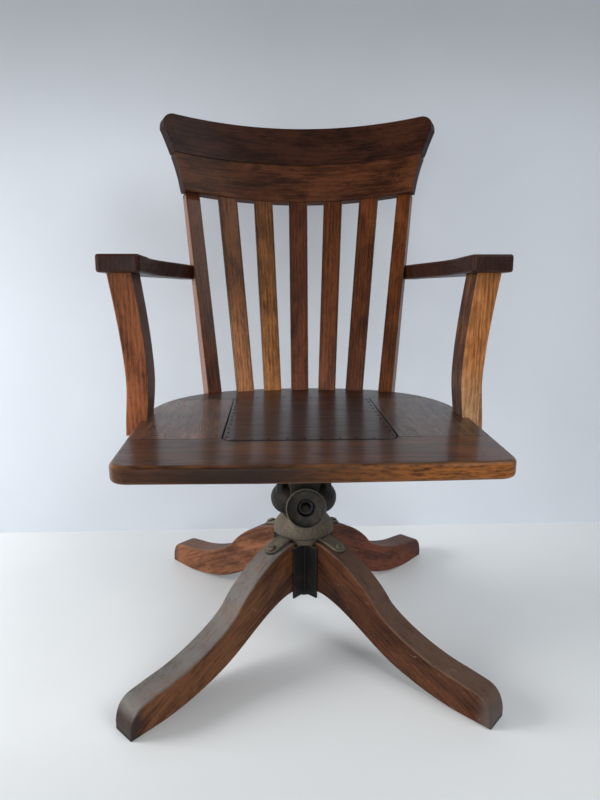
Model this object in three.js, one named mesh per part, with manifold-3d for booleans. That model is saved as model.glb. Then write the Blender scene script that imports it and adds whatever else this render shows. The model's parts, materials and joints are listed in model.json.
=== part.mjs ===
// A bankers swivel chair: a wooden armchair on a tilting iron, a height screw and four curved legs.
// Millimetres and degrees. +Z is up, the sitter faces -Y, and the feet stand at Z = 0.
import * as THREE from "three";
import { mergeVertices } from "three/addons/utils/BufferGeometryUtils.js";
import Module from "manifold-3d";

const wasm = await Module();
wasm.setup();

// Driving dimensions

const clearance = 0.3; // between pieces that seat on, pass through or slide in each other
const overrun = 6; // how far a cutter runs past what it cuts

const leg = {
  reach: 388, // spindle axis to toe
  thickness: 44,
  shoulderHeight: 186, // top of the leg where it meets the hub
  edge: 3.5, // rounding of the long edges
  tilt: 45, // azimuth of the first leg
  count: 4,
};

const hub = {
  sleeveRadius: 24,
  flangeRadius: 46,
  flangeRise: 2, // flange top above the leg's shoulder
  flangeThickness: 11,
  cheekThickness: 3.5,
  cheekReach: 54, // outer end of the cheeks that hold each leg
  cheekBottom: 80,
  sleeveDrop: 12, // sleeve below the cheeks
};

const tongue = { length: 95, width: 27, thickness: 4.5, screwAt: 84 };

const washer = { radius: 33, thickness: 3 };

const bell = {
  rimRadius: 55,
  shoulderRadius: 44,
  topRadius: 38,
  height: 31, // from the thrust washer to the flat top
  rimDrop: 1.2, // rim above the tongues
  wall: 5,
  bossRadius: 27,
};

const spindle = { radius: 14, pastSleeve: 5, chamfer: 2 };

const yoke = {
  barrelRadius: 30,
  barrelLength: 120,
  bossRadius: 27,
  armOutside: 98, // over both arms
  armThickness: 11,
  armDepth: 42,
  pivotRise: 55, // pivot above the barrel
};

const pivot = { radius: 8, headRadius: 13, headThickness: 5, chamfer: 1, nutAcross: 24 };

const rod = { radius: 6, tilt: 9, wall: 2, pastKnob: 1, chamfer: 1 };

const spring = {
  wire: 4.2,
  meanRadius: 17.5,
  length: 33.5,
  curls: 4,
  stepsPerCurl: 8,
  sides: 5,
};

const plate = { radius: 21, thickness: 2.6 }; // the washer that carries the spring's front end

const knob = {
  radius: 34.5,
  length: 16,
  hubRadius: 15,
  rimBead: 3.4,
  dish: 6,
  recessRadius: 14.5,
  recessDepth: 6,
};

const bracket = {
  width: 74, // over the cheeks
  cheekThickness: 10,
  cheekDepth: 80, // of the cheeks at the plate
  eyeRadius: 20,
  rise: 89, // seat underside above the pivot
  topThickness: 9,
  plateLength: 120,
  forkThickness: 10,
  forkBelow: 19, // fork tips under the rod
  forkWidth: 50,
  armThickness: 8,
  armWidthRoot: 34,
  armWidthTip: 25,
  frontInset: 63, // screws of the front arms behind the seat's front edge
  rearInset: 58, // screws of the rear arms ahead of the seat's rear edge
  armSpread: 60,
  ribThickness: 6,
  ribDepth: 16,
};

const seat = {
  thickness: 25,
  depth: 505,
  pastBack: 22, // rear edge behind the slat fronts
  frontWidth: 522,
  width: 540, // at the arm posts
  crown: 4, // bow of the front edge
  cornerRadius: 30,
  edge: 6, // rounding of the outer edges
  frontBoard: 125, // depth of the board that runs right across the front
};

const panel = {
  width: 256,
  frontMargin: 112, // from the seat's front edge
  rearMargin: 94,
  thickness: 6,
  cornerRadius: 24,
  ledge: 14,
};

const armPost = {
  letIn: 14, // into the seat's flank
  setBack: 235, // front face behind the seat's front edge
  depth: 56,
  widthFoot: 33.5,
  widthTop: 39,
  bow: 16, // sideways, over the whole height
  scribed: 4, // top of the blank above the arm's lower face, cut to it
  edge: 2.5,
};

const arm = {
  width: 66.5,
  inwards: 6, // inner edge inside the post's inner face at the seat
  overhang: 20, // past the post's front face
  thickness: 27,
  tailInset: 20, // tail's inner edge inside the outer face of the back post's top
  tailWidth: 34,
  pastPost: 8, // rear end behind the back post
  frontHeight: 260, // top above the seat at the front
  fall: 2.5,
  cornerRadius: 9,
  edge: 4,
};

const back = {
  set: 158, // slat fronts behind the spindle, at the seat's top
  lean: 12.4,
  radius: 520, // of the bend across the back
  postInset: 80, // outer face of a post at the seat, inside the seat's flank
  splay: 36, // of each post, from the seat to the crest
  postWidth: 28,
  postDepthLow: 38,
  postDepthHigh: 26,
  postTurn: 21,
  slatCount: 5,
  slatLowShare: 0.2905, // pitch of the slats over the reach of the posts, at the seat
  slatHighShare: 0.315, // and at the crest
  slatWidthLow: 35,
  slatWidthHigh: 37.5,
  slatThickness: 11,
  slatInset: 3, // slat fronts behind the crest's front face
  edge: 1.6,
  tenon: 14,
};

const crest = {
  rise: 382, // lower edge above the seat, along the back
  height: 150,
  thickness: 25,
  cornerInset: 3, // lower corner inside the outer face of the post
  flare: 34, // ear past the lower corner
  earLength: 19, // run of the ear's rounding
  lowerBow: 5, // ends above the middle, lower edge
  earRise: 122, // widest point of the ears above the lower corner
  earHeight: 8,
  edge: 3.2,
};

const woodScrew = { shankRadius: 2.6, headRadius: 5.6, headHeight: 2.4, length: 20 };
const lagScrew = { shankRadius: 3.4, headRadius: 7.5, headHeight: 3.4, length: 26 };

// Counts that set how finely curves are drawn
const roundSteps = 24;
const smallSteps = 10;
const hexSteps = 6;
const curveSteps = 8;
const edgeSteps = 2;
const seatEdgeSteps = 3;

// Heights and places that follow

const flangeTop = leg.shoulderHeight + hub.flangeRise;
const flangeBottom = flangeTop - hub.flangeThickness;
const sleeveBottom = hub.cheekBottom - hub.sleeveDrop;
const tongueTop = leg.shoulderHeight + clearance + tongue.thickness;
const washerTop = flangeTop + clearance + washer.thickness;
const bellBottom = washerTop + clearance;
const bellTop = bellBottom + bell.height;
const yokeBottom = bellTop + clearance;
const barrelHeight = yokeBottom + yoke.barrelRadius;
const pivotHeight = barrelHeight + yoke.pivotRise;
const seatBottom = pivotHeight + bracket.rise;
const seatTop = seatBottom + seat.thickness;
const sleeveBore = spindle.radius + clearance;
const legInner = hub.sleeveRadius + clearance;
const legNotch = hub.flangeRadius + clearance;
const rodAxis = new THREE.Vector3(0, -Math.cos(radians(rod.tilt)), Math.sin(radians(rod.tilt)));
const forkBack = yoke.barrelRadius + clearance; // along the rod, from the barrel's axis
const springStart = forkBack + bracket.forkThickness + clearance;
const plateStart = springStart + spring.length + clearance;
const knobStart = plateStart + plate.thickness + clearance;
const rodStart = sleeveBore + rod.wall; // the rod is screwed into the barrel, short of the spindle

// Places across and along the chair that follow

const seatRear = back.set + seat.pastBack; // rear edge behind the spindle
const seatFront = seat.depth - seatRear; // front edge ahead of the spindle
const frontJoint = seat.frontBoard - seatFront; // from here down, places along Y
const panelFront = panel.frontMargin - seatFront;
const panelRear = seatRear - panel.rearMargin;
const rearJoint = panelRear - panel.ledge;
const postFront = armPost.setBack - seatFront;
const postInner = seat.width / 2 - armPost.letIn; // inner face of an arm post at the seat
const postHeight = seat.thickness + arm.frontHeight - arm.thickness + armPost.scribed;
const armInner = postInner - arm.inwards;
const armOuter = armInner + arm.width;
const backLow = seat.width / 2 - back.postInset; // outer face of a back post at the seat
const backHigh = backLow + back.splay;
const tailInner = backHigh - arm.tailInset;
const tailOuter = tailInner + arm.tailWidth;
const crestLow = backHigh - crest.cornerInset; // half width at the lower corners
const crestHigh = crestLow + crest.flare;

const sides = [{ name: "left", side: -1 }, { name: "right", side: 1 }];

// Materials

function finish(color, roughness, metalness) {
  return new THREE.MeshStandardMaterial({ color, roughness, metalness });
}

const darkWood = finish(0x4a2416, 0.42, 0);
const seatWood = finish(0x54301f, 0.38, 0);
const slatWood = finish(0x6e3a1e, 0.45, 0);
const legWood = finish(0x6b3524, 0.55, 0);
const dustyIron = finish(0x6b6455, 0.8, 0.4);
const blackIron = finish(0x222324, 0.5, 0.6);
const steel = finish(0x77736c, 0.4, 0.9);

// Shape helpers

function radians(degrees) {
  return THREE.MathUtils.degToRad(degrees);
}

// Signed volume of a closed triangle mesh: negative where its faces point inwards.
function signedVolume(geometry) {
  const p = geometry.attributes.position;
  const order = geometry.index ? geometry.index.array : [...Array(p.count).keys()];
  const [a, b, c] = [new THREE.Vector3(), new THREE.Vector3(), new THREE.Vector3()];
  let sum = 0;
  for (let i = 0; i < order.length; i += 3) {
    a.fromBufferAttribute(p, order[i]);
    b.fromBufferAttribute(p, order[i + 1]);
    c.fromBufferAttribute(p, order[i + 2]);
    sum += a.dot(b.cross(c));
  }
  return sum;
}

// The geometry as one closed skin, facing out.
function skin(geometry) {
  const bare = geometry.clone();
  bare.deleteAttribute("normal");
  bare.deleteAttribute("uv");
  const joined = mergeVertices(bare, 1e-4);
  if (signedVolume(joined) < 0) {
    const order = joined.index.array;
    for (let i = 0; i < order.length; i += 3) {
      [order[i + 1], order[i + 2]] = [order[i + 2], order[i + 1]];
    }
  }
  return joined;
}

function solid(geometry) {
  const closed = skin(geometry);
  return new wasm.Manifold(
    new wasm.Mesh({
      numProp: 3,
      vertProperties: new Float32Array(closed.attributes.position.array),
      triVerts: new Uint32Array(closed.index.array),
    }),
  );
}

function geometryOf(body) {
  const { vertProperties, triVerts } = body.getMesh();
  const shared = new THREE.BufferGeometry();
  shared.setAttribute("position", new THREE.BufferAttribute(new Float32Array(vertProperties), 3));
  shared.setIndex(new THREE.BufferAttribute(new Uint32Array(triVerts), 1));
  const faceted = shared.toNonIndexed();
  faceted.computeVertexNormals();
  return faceted;
}

function cut(body, ...tools) {
  return tools.reduce((left, tool) => left.subtract(solid(tool)), body);
}

function join(...geometries) {
  return geometries.map(solid).reduce((sum, next) => sum.add(next));
}

function mesh(name, shape, material) {
  const geometry = shape.isBufferGeometry ? shape : geometryOf(shape);
  const made = new THREE.Mesh(geometry, material);
  made.name = name;
  return made;
}

function group(...members) {
  const made = new THREE.Group();
  made.add(...members);
  return made;
}

// A solid of revolution about +Z, from [radius, height] pairs that close on the axis or on
// themselves.
function turned(profile, steps = roundSteps) {
  const points = profile.map(([r, z]) => new THREE.Vector2(r, z));
  return skin(new THREE.LatheGeometry(points, steps).rotateX(Math.PI / 2));
}

function ring(inner, outer, low, high, steps = roundSteps) {
  return turned([[inner, low], [outer, low], [outer, high], [inner, high], [inner, low]], steps);
}

function shaft(radius, low, high, chamfer = 0, steps = roundSteps) {
  const ends = chamfer > 0;
  const profile = [[0, low]];
  if (ends) profile.push([radius - chamfer, low]);
  profile.push([radius, low + chamfer], [radius, high - chamfer]);
  if (ends) profile.push([radius - chamfer, high]);
  profile.push([0, high]);
  return turned(profile, steps);
}

// An outline in its own XY plane, made thick along +Z from 0, its edges rounded inside the outline.
function slab(shape, thickness, edge = 0, segments = edgeSteps) {
  return new THREE.ExtrudeGeometry(shape, {
    depth: thickness - 2 * edge,
    curveSegments: curveSteps,
    bevelEnabled: edge > 0,
    bevelSize: edge,
    bevelOffset: -edge,
    bevelThickness: edge,
    bevelSegments: segments,
  }).translate(0, 0, edge);
}

// A slab whose outline lies in the XZ plane and whose thickness is centred on Y = 0.
function upright(shape, thickness, edge = 0) {
  return slab(shape, thickness, edge)
    .translate(0, 0, -thickness / 2)
    .rotateX(Math.PI / 2);
}

function block(xs, ys, zs) {
  const size = [xs, ys, zs].map(([low, high]) => high - low);
  const middle = [xs, ys, zs].map(([low, high]) => (low + high) / 2);
  return new THREE.BoxGeometry(...size).translate(...middle);
}

// Skin between rings of points that all have the same count, with a flat cap at each end.
function loft(rings) {
  const count = rings[0].length;
  const places = rings.flat().flatMap((p) => [p.x, p.y, p.z]);
  const faces = [];
  for (let i = 0; i + 1 < rings.length; i++) {
    for (let j = 0; j < count; j++) {
      const [a, b] = [i * count + j, i * count + ((j + 1) % count)];
      faces.push(a, b, b + count, a, b + count, a + count);
    }
  }
  const last = (rings.length - 1) * count;
  for (let j = 1; j + 1 < count; j++) {
    faces.push(0, j + 1, j, last, last + j, last + j + 1);
  }
  const made = new THREE.BufferGeometry();
  made.setAttribute("position", new THREE.Float32BufferAttribute(places, 3));
  made.setIndex(faces);
  return skin(made);
}

// Corners of a rectangle with eased edges, width along u and depth along v.
function easedCorners(width, depth, edge) {
  const [w, d] = [width / 2, depth / 2];
  return [
    [w, d - edge], [w - edge, d], [edge - w, d], [-w, d - edge],
    [-w, edge - d], [edge - w, -d], [w - edge, -d], [w, edge - d],
  ];
}

// A point set by shares of a run and a rise from a corner.
function shared(corner, run, rise, [across, up]) {
  return [corner[0] + run * across, corner[1] + rise * up];
}

// Legs: one bandy outline, sawn from a plank and let into the hub

// Shares of the run past the hub's flange, and of the shoulder's height
const crownShares = [[0, 1], [0.155, 0.978], [0.338, 0.731], [0.395, 0.586]];
const instepShares = [[0.395, 0.586], [0.459, 0.473], [0.647, 0.316], [0.821, 0.287]];
const toeShares = [[0.913, 0.262], [0.99, 0.245], [1, 0.07]];
const heelShare = 0.864;
const archShares = [[0.734, 0], [0.546, 0.081], [0.445, 0.167]];
const bellyShares = [[0.329, 0.263], [0.17, 0.473], [0.031, 0.489]];

const legPoint = (share) =>
  new THREE.Vector2(...shared([legNotch, 0], leg.reach - legNotch, leg.shoulderHeight, share));
const crownLine = new THREE.CubicBezierCurve(...crownShares.map(legPoint));

// Height and slope of the leg's crown at a distance from the spindle.
function crownAt(distance) {
  const halvings = 40;
  let [low, high] = [0, 1];
  for (let i = 0; i < halvings; i++) {
    const middle = (low + high) / 2;
    if (crownLine.getPoint(middle).x < distance) low = middle;
    else high = middle;
  }
  const slope = crownLine.getTangent(low);
  return { height: crownLine.getPoint(low).y, angle: Math.atan2(slope.y, slope.x) };
}

function legOutline() {
  const outline = new THREE.Shape();
  const underFlange = flangeBottom - clearance;
  const [, instepOut, instepIn, ankle] = instepShares.map(legPoint);
  const [, crownOut, crownIn, knee] = crownShares.map(legPoint);
  const [toeTop, toeTurn, toeFront] = toeShares.map(legPoint);
  const [archOut, archIn, archTop] = archShares.map(legPoint);
  const [bellyOut, bellyIn, bellyEnd] = bellyShares.map(legPoint);
  outline.moveTo(legInner, bellyEnd.y);
  outline.lineTo(legInner, underFlange);
  outline.lineTo(legNotch, underFlange);
  outline.lineTo(legNotch, leg.shoulderHeight);
  outline.bezierCurveTo(crownOut.x, crownOut.y, crownIn.x, crownIn.y, knee.x, knee.y);
  outline.bezierCurveTo(instepOut.x, instepOut.y, instepIn.x, instepIn.y, ankle.x, ankle.y);
  outline.lineTo(toeTop.x, toeTop.y);
  outline.quadraticCurveTo(toeTurn.x, toeTurn.y, toeFront.x, toeFront.y);
  outline.lineTo(leg.reach, 0);
  outline.lineTo(legPoint([heelShare, 0]).x, 0);
  outline.bezierCurveTo(archOut.x, archOut.y, archIn.x, archIn.y, archTop.x, archTop.y);
  outline.bezierCurveTo(bellyOut.x, bellyOut.y, bellyIn.x, bellyIn.y, bellyEnd.x, bellyEnd.y);
  return outline;
}

const legNames = ["rear_right", "rear_left", "front_left", "front_right"];
const legAngles = legNames.map((_, i) => radians(leg.tilt + (i * 360) / leg.count));

// A flat-backed round-head screw: the underside of the head at Z = 0, the shank below.
function screwShape({ shankRadius, headRadius, headHeight, length }) {
  const crownRadius = (2 * headRadius) / 3;
  return turned([
    [0, -length], [shankRadius, shankRadius - length], [shankRadius, 0],
    [headRadius, 0], [headRadius, headHeight / 3], [crownRadius, headHeight], [0, headHeight],
  ], smallSteps);
}

function screwHole({ shankRadius, length }) {
  return shaft(shankRadius + clearance, -length - clearance, overrun, 0, smallSteps);
}

// A screw through a tongue stands square to the leg's crown.
function tongueScrewPlace(angle) {
  const { height, angle: slope } = crownAt(tongue.screwAt);
  const lift = clearance + tongue.thickness + clearance;
  const place = new THREE.Matrix4().makeRotationZ(angle);
  place.multiply(new THREE.Matrix4().makeTranslation(tongue.screwAt, 0, height));
  place.multiply(new THREE.Matrix4().makeRotationY(-slope));
  place.multiply(new THREE.Matrix4().makeTranslation(0, 0, lift));
  return place;
}

function buildLegs() {
  const blank = solid(upright(legOutline(), leg.thickness, leg.edge));
  const bored = cut(blank, screwHole(lagScrew).applyMatrix4(tongueScrewPlace(0)));
  return legNames.map((name, i) => {
    const made = mesh("leg_" + name, bored, legWood);
    made.rotation.z = legAngles[i];
    return made;
  });
}

// Hub: one casting with a sleeve, a flange, four pairs of cheeks and four tongues

// A strap that follows the leg's crown, seen from the side.
function tongueSide() {
  const start = hub.flangeRadius - hub.flangeThickness;
  const lower = [new THREE.Vector2(start, leg.shoulderHeight + clearance)];
  for (let i = 0; i <= curveSteps; i++) {
    const distance = legNotch + ((tongue.length - legNotch) * i) / curveSteps;
    lower.push(new THREE.Vector2(distance, crownAt(distance).height + clearance));
  }
  const upper = lower.map((p) => new THREE.Vector2(p.x, p.y + tongue.thickness)).reverse();
  return new THREE.Shape([...lower, ...upper]);
}

function tonguePlan() {
  const radius = tongue.width / 2;
  const plan = new THREE.Shape();
  plan.moveTo(0, -radius);
  plan.lineTo(tongue.length - radius, -radius);
  plan.absarc(tongue.length - radius, 0, radius, -Math.PI / 2, Math.PI / 2, false);
  plan.lineTo(0, radius);
  return plan;
}

function buildHub() {
  const cheekOutside = leg.thickness / 2 + clearance + hub.cheekThickness;
  const cheekInside = leg.thickness / 2 + clearance;
  const sleeve = shaft(hub.sleeveRadius, sleeveBottom, flangeTop);
  const flange = shaft(hub.flangeRadius, flangeBottom, flangeTop, hub.flangeRise / 2);
  let casting = join(sleeve, flange);
  for (const angle of legAngles) {
    const heights = [hub.cheekBottom, flangeBottom + clearance];
    const cheeks = [[-cheekOutside, -cheekInside], [cheekInside, cheekOutside]].map((across) =>
      block([cheekInside, hub.cheekReach], across, heights).rotateZ(angle),
    );
    const strap = solid(upright(tongueSide(), tongue.width))
      .intersect(solid(slab(tonguePlan(), tongueTop + overrun)));
    casting = casting.add(join(...cheeks)).add(solid(geometryOf(strap).rotateZ(angle)));
    casting = cut(casting, screwHole(lagScrew).applyMatrix4(tongueScrewPlace(angle)));
  }
  const bore = shaft(sleeveBore, -overrun, tongueTop + overrun);
  return mesh("hub", cut(casting, bore), dustyIron);
}

function buildTongueScrews() {
  return legNames.map((name, i) => {
    const made = mesh("hub_screw_" + name, screwShape(lagScrew), blackIron);
    made.applyMatrix4(tongueScrewPlace(legAngles[i]));
    return made;
  });
}

// Height screw: thrust washer, bell nut and spindle

function buildWasher() {
  const low = flangeTop + clearance;
  return mesh("thrust_washer", ring(sleeveBore, washer.radius, low, washerTop), steel);
}

// The nut is a hollow bell on a threaded boss.
function buildBellNut() {
  const rim = tongueTop + bell.rimDrop;
  const outside = new THREE.CubicBezierCurve(
    new THREE.Vector2(bell.rimRadius, rim + bell.wall),
    new THREE.Vector2(bell.rimRadius, rim + bell.height / 2),
    new THREE.Vector2(bell.shoulderRadius, bellTop - bell.wall),
    new THREE.Vector2(bell.topRadius, bellTop),
  );
  const roof = bellTop - 2 * bell.wall;
  const profile = [
    [sleeveBore, bellBottom],
    [bell.bossRadius, bellBottom],
    [bell.bossRadius, roof],
    [bell.topRadius, roof],
    [bell.rimRadius - bell.wall, rim + bell.wall],
    [bell.rimRadius - bell.wall, rim],
    [bell.rimRadius - bell.rimDrop, rim],
    [bell.rimRadius, rim + bell.rimDrop],
    ...outside.getPoints(curveSteps).map((p) => [p.x, p.y]),
    [sleeveBore, bellTop],
    [sleeveBore, bellBottom],
  ];
  return mesh("bell_nut", turned(profile), dustyIron);
}

const spindleTop = barrelHeight;

function buildSpindle() {
  const low = sleeveBottom - spindle.pastSleeve;
  return mesh("spindle", shaft(spindle.radius, low, spindleTop, spindle.chamfer), steel);
}

// Tilt yoke: a cross barrel on the spindle's head, with two arms up to the pivot

// Frame of the tension rod: origin on the barrel's axis, +Z out along the rod.
const rodFrame = new THREE.Matrix4().compose(
  new THREE.Vector3(0, 0, barrelHeight),
  new THREE.Quaternion().setFromUnitVectors(new THREE.Vector3(0, 0, 1), rodAxis),
  new THREE.Vector3(1, 1, 1),
);

// A round bar across the chair, from -X to +X.
function crossways(geometry) {
  return geometry.rotateY(Math.PI / 2);
}

function eyePlan(radius, rise, depth) {
  const plan = new THREE.Shape();
  plan.moveTo(-depth / 2, 0);
  plan.lineTo(depth / 2, 0);
  plan.lineTo(radius, rise);
  plan.absarc(0, rise, radius, 0, Math.PI, false);
  return plan;
}

function buildYoke() {
  const [r, half] = [yoke.barrelRadius, yoke.barrelLength / 2];
  const dome = [];
  const domeSteps = curveSteps / 2;
  for (let i = 0; i <= domeSteps; i++) {
    const turn = (Math.PI * i) / (2 * domeSteps);
    dome.push([r * Math.sin(turn), half - r + r * Math.cos(turn)]);
  }
  const lowerDome = dome.map(([x, z]) => [x, -z]).reverse();
  const barrel = crossways(turned([...dome, ...lowerDome])).translate(0, 0, barrelHeight);
  const boss = shaft(yoke.bossRadius, yokeBottom, barrelHeight);
  const armPlan = eyePlan(yoke.armDepth / 2, yoke.pivotRise, yoke.armDepth);
  const arms = [-1, 1].map((side) => {
    const middle = side * (yoke.armOutside - yoke.armThickness) / 2;
    return slab(armPlan, yoke.armThickness)
      .translate(0, 0, -yoke.armThickness / 2)
      .rotateX(Math.PI / 2)
      .rotateZ(Math.PI / 2)
      .translate(middle, 0, barrelHeight);
  });
  const pivotBore = crossways(shaft(pivot.radius + clearance, -half, half))
    .translate(0, 0, pivotHeight);
  const spindleBore = shaft(sleeveBore, yokeBottom - overrun, spindleTop + clearance);
  const rodBore = shaft(rod.radius + clearance, rodStart - clearance, half, 0, smallSteps)
    .applyMatrix4(rodFrame);
  const casting = cut(join(barrel, boss, ...arms), pivotBore, spindleBore, rodBore);
  return mesh("tilt_yoke", casting, blackIron);
}

function buildPivot() {
  const outside = yoke.armOutside / 2;
  const seated = outside + clearance;
  const end = seated + 2 * pivot.headThickness;
  const bolt = join(
    shaft(pivot.radius, -seated - pivot.headThickness, end, pivot.chamfer),
    shaft(pivot.headRadius, -seated - pivot.headThickness, -seated, pivot.chamfer),
  );
  const cornerRadius = pivot.nutAcross / 2 / Math.cos(Math.PI / hexSteps);
  const hexagon = shaft(cornerRadius, seated, seated + pivot.headThickness, 0, hexSteps);
  const nut = cut(solid(hexagon), shaft(pivot.radius + clearance, outside - overrun, end + overrun));
  const parts = [mesh("pivot_bolt", bolt, steel), mesh("pivot_nut", nut, steel)];
  for (const part of parts) {
    part.rotation.y = Math.PI / 2;
    part.position.z = pivotHeight;
  }
  return parts;
}

// Tension gear on the rod: spring, plate and dished knob

function buildRod() {
  const end = knobStart + knob.length - knob.dish + rod.pastKnob;
  return mesh("tension_rod", shaft(rod.radius, rodStart, end, rod.chamfer, smallSteps), steel);
}

// One unbroken wire: a helix whose ends run straight for one wire diameter.
function buildSpring() {
  const climb = spring.length - spring.wire;
  const steps = spring.curls * spring.stepsPerCurl;
  const [radius, wide] = [spring.wire / 2, spring.meanRadius];
  const path = [];
  for (let i = 0; i <= steps; i++) {
    const turn = (2 * Math.PI * i) / spring.stepsPerCurl;
    const z = springStart + radius + (climb * i) / steps;
    path.push(new THREE.Vector3(wide * Math.cos(turn), wide * Math.sin(turn), z));
  }
  const straight = (at, direction) =>
    at.clone().add(new THREE.Vector3(0, direction * spring.wire, 0));
  path.unshift(straight(path[0], -1));
  path.push(straight(path[path.length - 1], 1));
  reportGap(path);
  const rings = path.map((p, i) => {
    const [before, after] = [path[Math.max(i - 1, 0)], path[Math.min(i + 1, path.length - 1)]];
    const ahead = after.clone().sub(before).normalize();
    const outward = new THREE.Vector3(p.x, p.y, 0).normalize();
    const up = new THREE.Vector3().crossVectors(ahead, outward).normalize();
    const side = new THREE.Vector3().crossVectors(up, ahead);
    return [...Array(spring.sides).keys()].map((j) => {
      const turn = (2 * Math.PI * j) / spring.sides;
      return p.clone()
        .addScaledVector(side, radius * Math.cos(turn))
        .addScaledVector(up, radius * Math.sin(turn));
    });
  });
  return mesh("tilt_spring", loft(rings), steel);
}

// Least gap between turns of the wire, measured on points along its axis.
function reportGap(path) {
  const pointsPerCurl = 40;
  const points = new THREE.CatmullRomCurve3(path).getSpacedPoints(pointsPerCurl * spring.curls);
  const apart = pointsPerCurl / 2;
  let least = Infinity;
  points.forEach((p, i) => {
    points.slice(i + apart).forEach((q) => {
      least = Math.min(least, p.distanceTo(q));
    });
  });
  console.log("tilt_spring: least gap to itself " + (least - spring.wire).toFixed(2) + " mm");
}

function buildPlate() {
  const shape = ring(rod.radius + clearance, plate.radius, plateStart, plateStart + plate.thickness);
  return mesh("spring_plate", shape, steel);
}

// The knob is a dished hand wheel with a beaded rim and a deep eye round the rod's end.
function buildKnob() {
  const bore = rod.radius + clearance;
  const front = knobStart + knob.length;
  const profile = [
    [bore, knobStart],
    [knob.hubRadius, knobStart],
    [knob.hubRadius + knob.rimBead, knobStart + knob.rimBead],
    [knob.radius - 2 * knob.rimBead, front - knob.dish - knob.rimBead],
    [knob.radius - knob.rimBead / 3, front - knob.rimBead],
    [knob.radius, front - knob.rimBead / 2],
    [knob.radius - knob.rimBead / 3, front],
    [knob.radius - knob.rimBead, front],
    [knob.radius - 2 * knob.rimBead, front - knob.dish / 2],
    [knob.recessRadius, front - knob.dish],
    [knob.recessRadius - knob.rimBead / 2, front - knob.dish - knob.recessDepth],
    [bore, front - knob.dish - knob.recessDepth],
    [bore, knobStart],
  ];
  return mesh("tension_knob", turned(profile), blackIron);
}

// Seat bracket: plate, cheeks, fork and four screwed arms, one casting

const plateTop = seatBottom - clearance;

// The two cheeks that swing inside the yoke's arms, each with an eye for the pivot bolt.
function bracketCheeks() {
  const outline = eyePlan(bracket.eyeRadius, plateTop - pivotHeight, bracket.cheekDepth);
  return sides.map(({ side }) =>
    slab(outline, bracket.cheekThickness)
      .translate(0, 0, -bracket.cheekThickness / 2)
      .rotateX(-Math.PI / 2)
      .rotateZ(Math.PI / 2)
      .translate((side * (bracket.width - bracket.cheekThickness)) / 2, 0, plateTop),
  );
}

// The web between the cheeks, drawn square across the rod, that pushes on the spring.
function forkOutline() {
  const [half, forkHalf] = [bracket.width / 2, bracket.forkWidth / 2];
  const rise = (plateTop - barrelHeight) / Math.cos(radians(rod.tilt));
  const web = new THREE.Shape();
  web.moveTo(-forkHalf, -bracket.forkBelow);
  web.lineTo(forkHalf, -bracket.forkBelow);
  web.lineTo(forkHalf, bracket.forkBelow);
  web.lineTo(half, yoke.pivotRise);
  web.lineTo(half, rise);
  web.lineTo(-half, rise);
  web.lineTo(-half, yoke.pivotRise);
  web.lineTo(-forkHalf, bracket.forkBelow);
  return web;
}

// The slot that lets the fork straddle the rod.
function slotOutline() {
  const half = rod.radius + 2 * clearance;
  const low = -bracket.forkBelow - overrun;
  const slot = new THREE.Shape();
  slot.moveTo(-half, low);
  slot.lineTo(half, low);
  slot.lineTo(half, 0);
  slot.absarc(0, 0, half, 0, Math.PI, false);
  return slot;
}

function buildBracket() {
  const [half, halfLength] = [bracket.width / 2, bracket.plateLength / 2];
  const across = [-half, half];
  const top = block(across, [-halfLength, halfLength], [plateTop - bracket.topThickness, plateTop]);
  const web = inRodFrame(slab(forkOutline(), bracket.forkThickness).translate(0, 0, forkBack));
  const fork = solid(web).intersect(solid(block(across, [-seatFront, 0], [0, plateTop])));
  let casting = join(top, ...bracketCheeks()).add(fork);
  for (const place of bracketArmPlaces()) {
    casting = casting.add(join(bracketArm(place), bracketRib(place)));
  }
  const bore = crossways(shaft(pivot.radius + clearance, -seat.width, seat.width))
    .translate(0, 0, pivotHeight);
  const slot = inRodFrame(
    slab(slotOutline(), bracket.forkThickness + 2 * overrun).translate(0, 0, forkBack - overrun),
  );
  const holes = bracketScrewPlaces().map((place) => screwHole(woodScrew).applyMatrix4(place));
  return mesh("seat_bracket", cut(casting, bore, slot, ...holes), dustyIron);
}

// Lays an outline square across the rod: outline X stays across the chair, outline Y points up.
function inRodFrame(geometry) {
  return geometry.rotateX(Math.PI / 2 - radians(rod.tilt)).translate(0, 0, barrelHeight);
}

function bracketArmPlaces() {
  return [-1, 1].flatMap((side) => [
    { side, from: -bracket.plateLength / 2, to: bracket.frontInset - seatFront },
    { side, from: bracket.plateLength / 2, to: seatRear - bracket.rearInset },
  ]);
}

function bracketArm({ side, from, to }) {
  const way = Math.sign(to);
  const root = bracket.width / 2 - bracket.armWidthRoot / 2;
  const [rootHalf, tip] = [bracket.armWidthRoot / 2, bracket.armWidthTip / 2];
  const inner = from - way * bracket.armWidthRoot;
  const plan = new THREE.Shape();
  plan.moveTo(side * root - rootHalf, inner);
  plan.lineTo(side * root + rootHalf, inner);
  plan.lineTo(side * bracket.armSpread + tip, to);
  plan.absarc(side * bracket.armSpread, to, tip, 0, way * Math.PI, way < 0);
  return slab(plan, bracket.armThickness).translate(0, 0, plateTop - bracket.armThickness);
}

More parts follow.
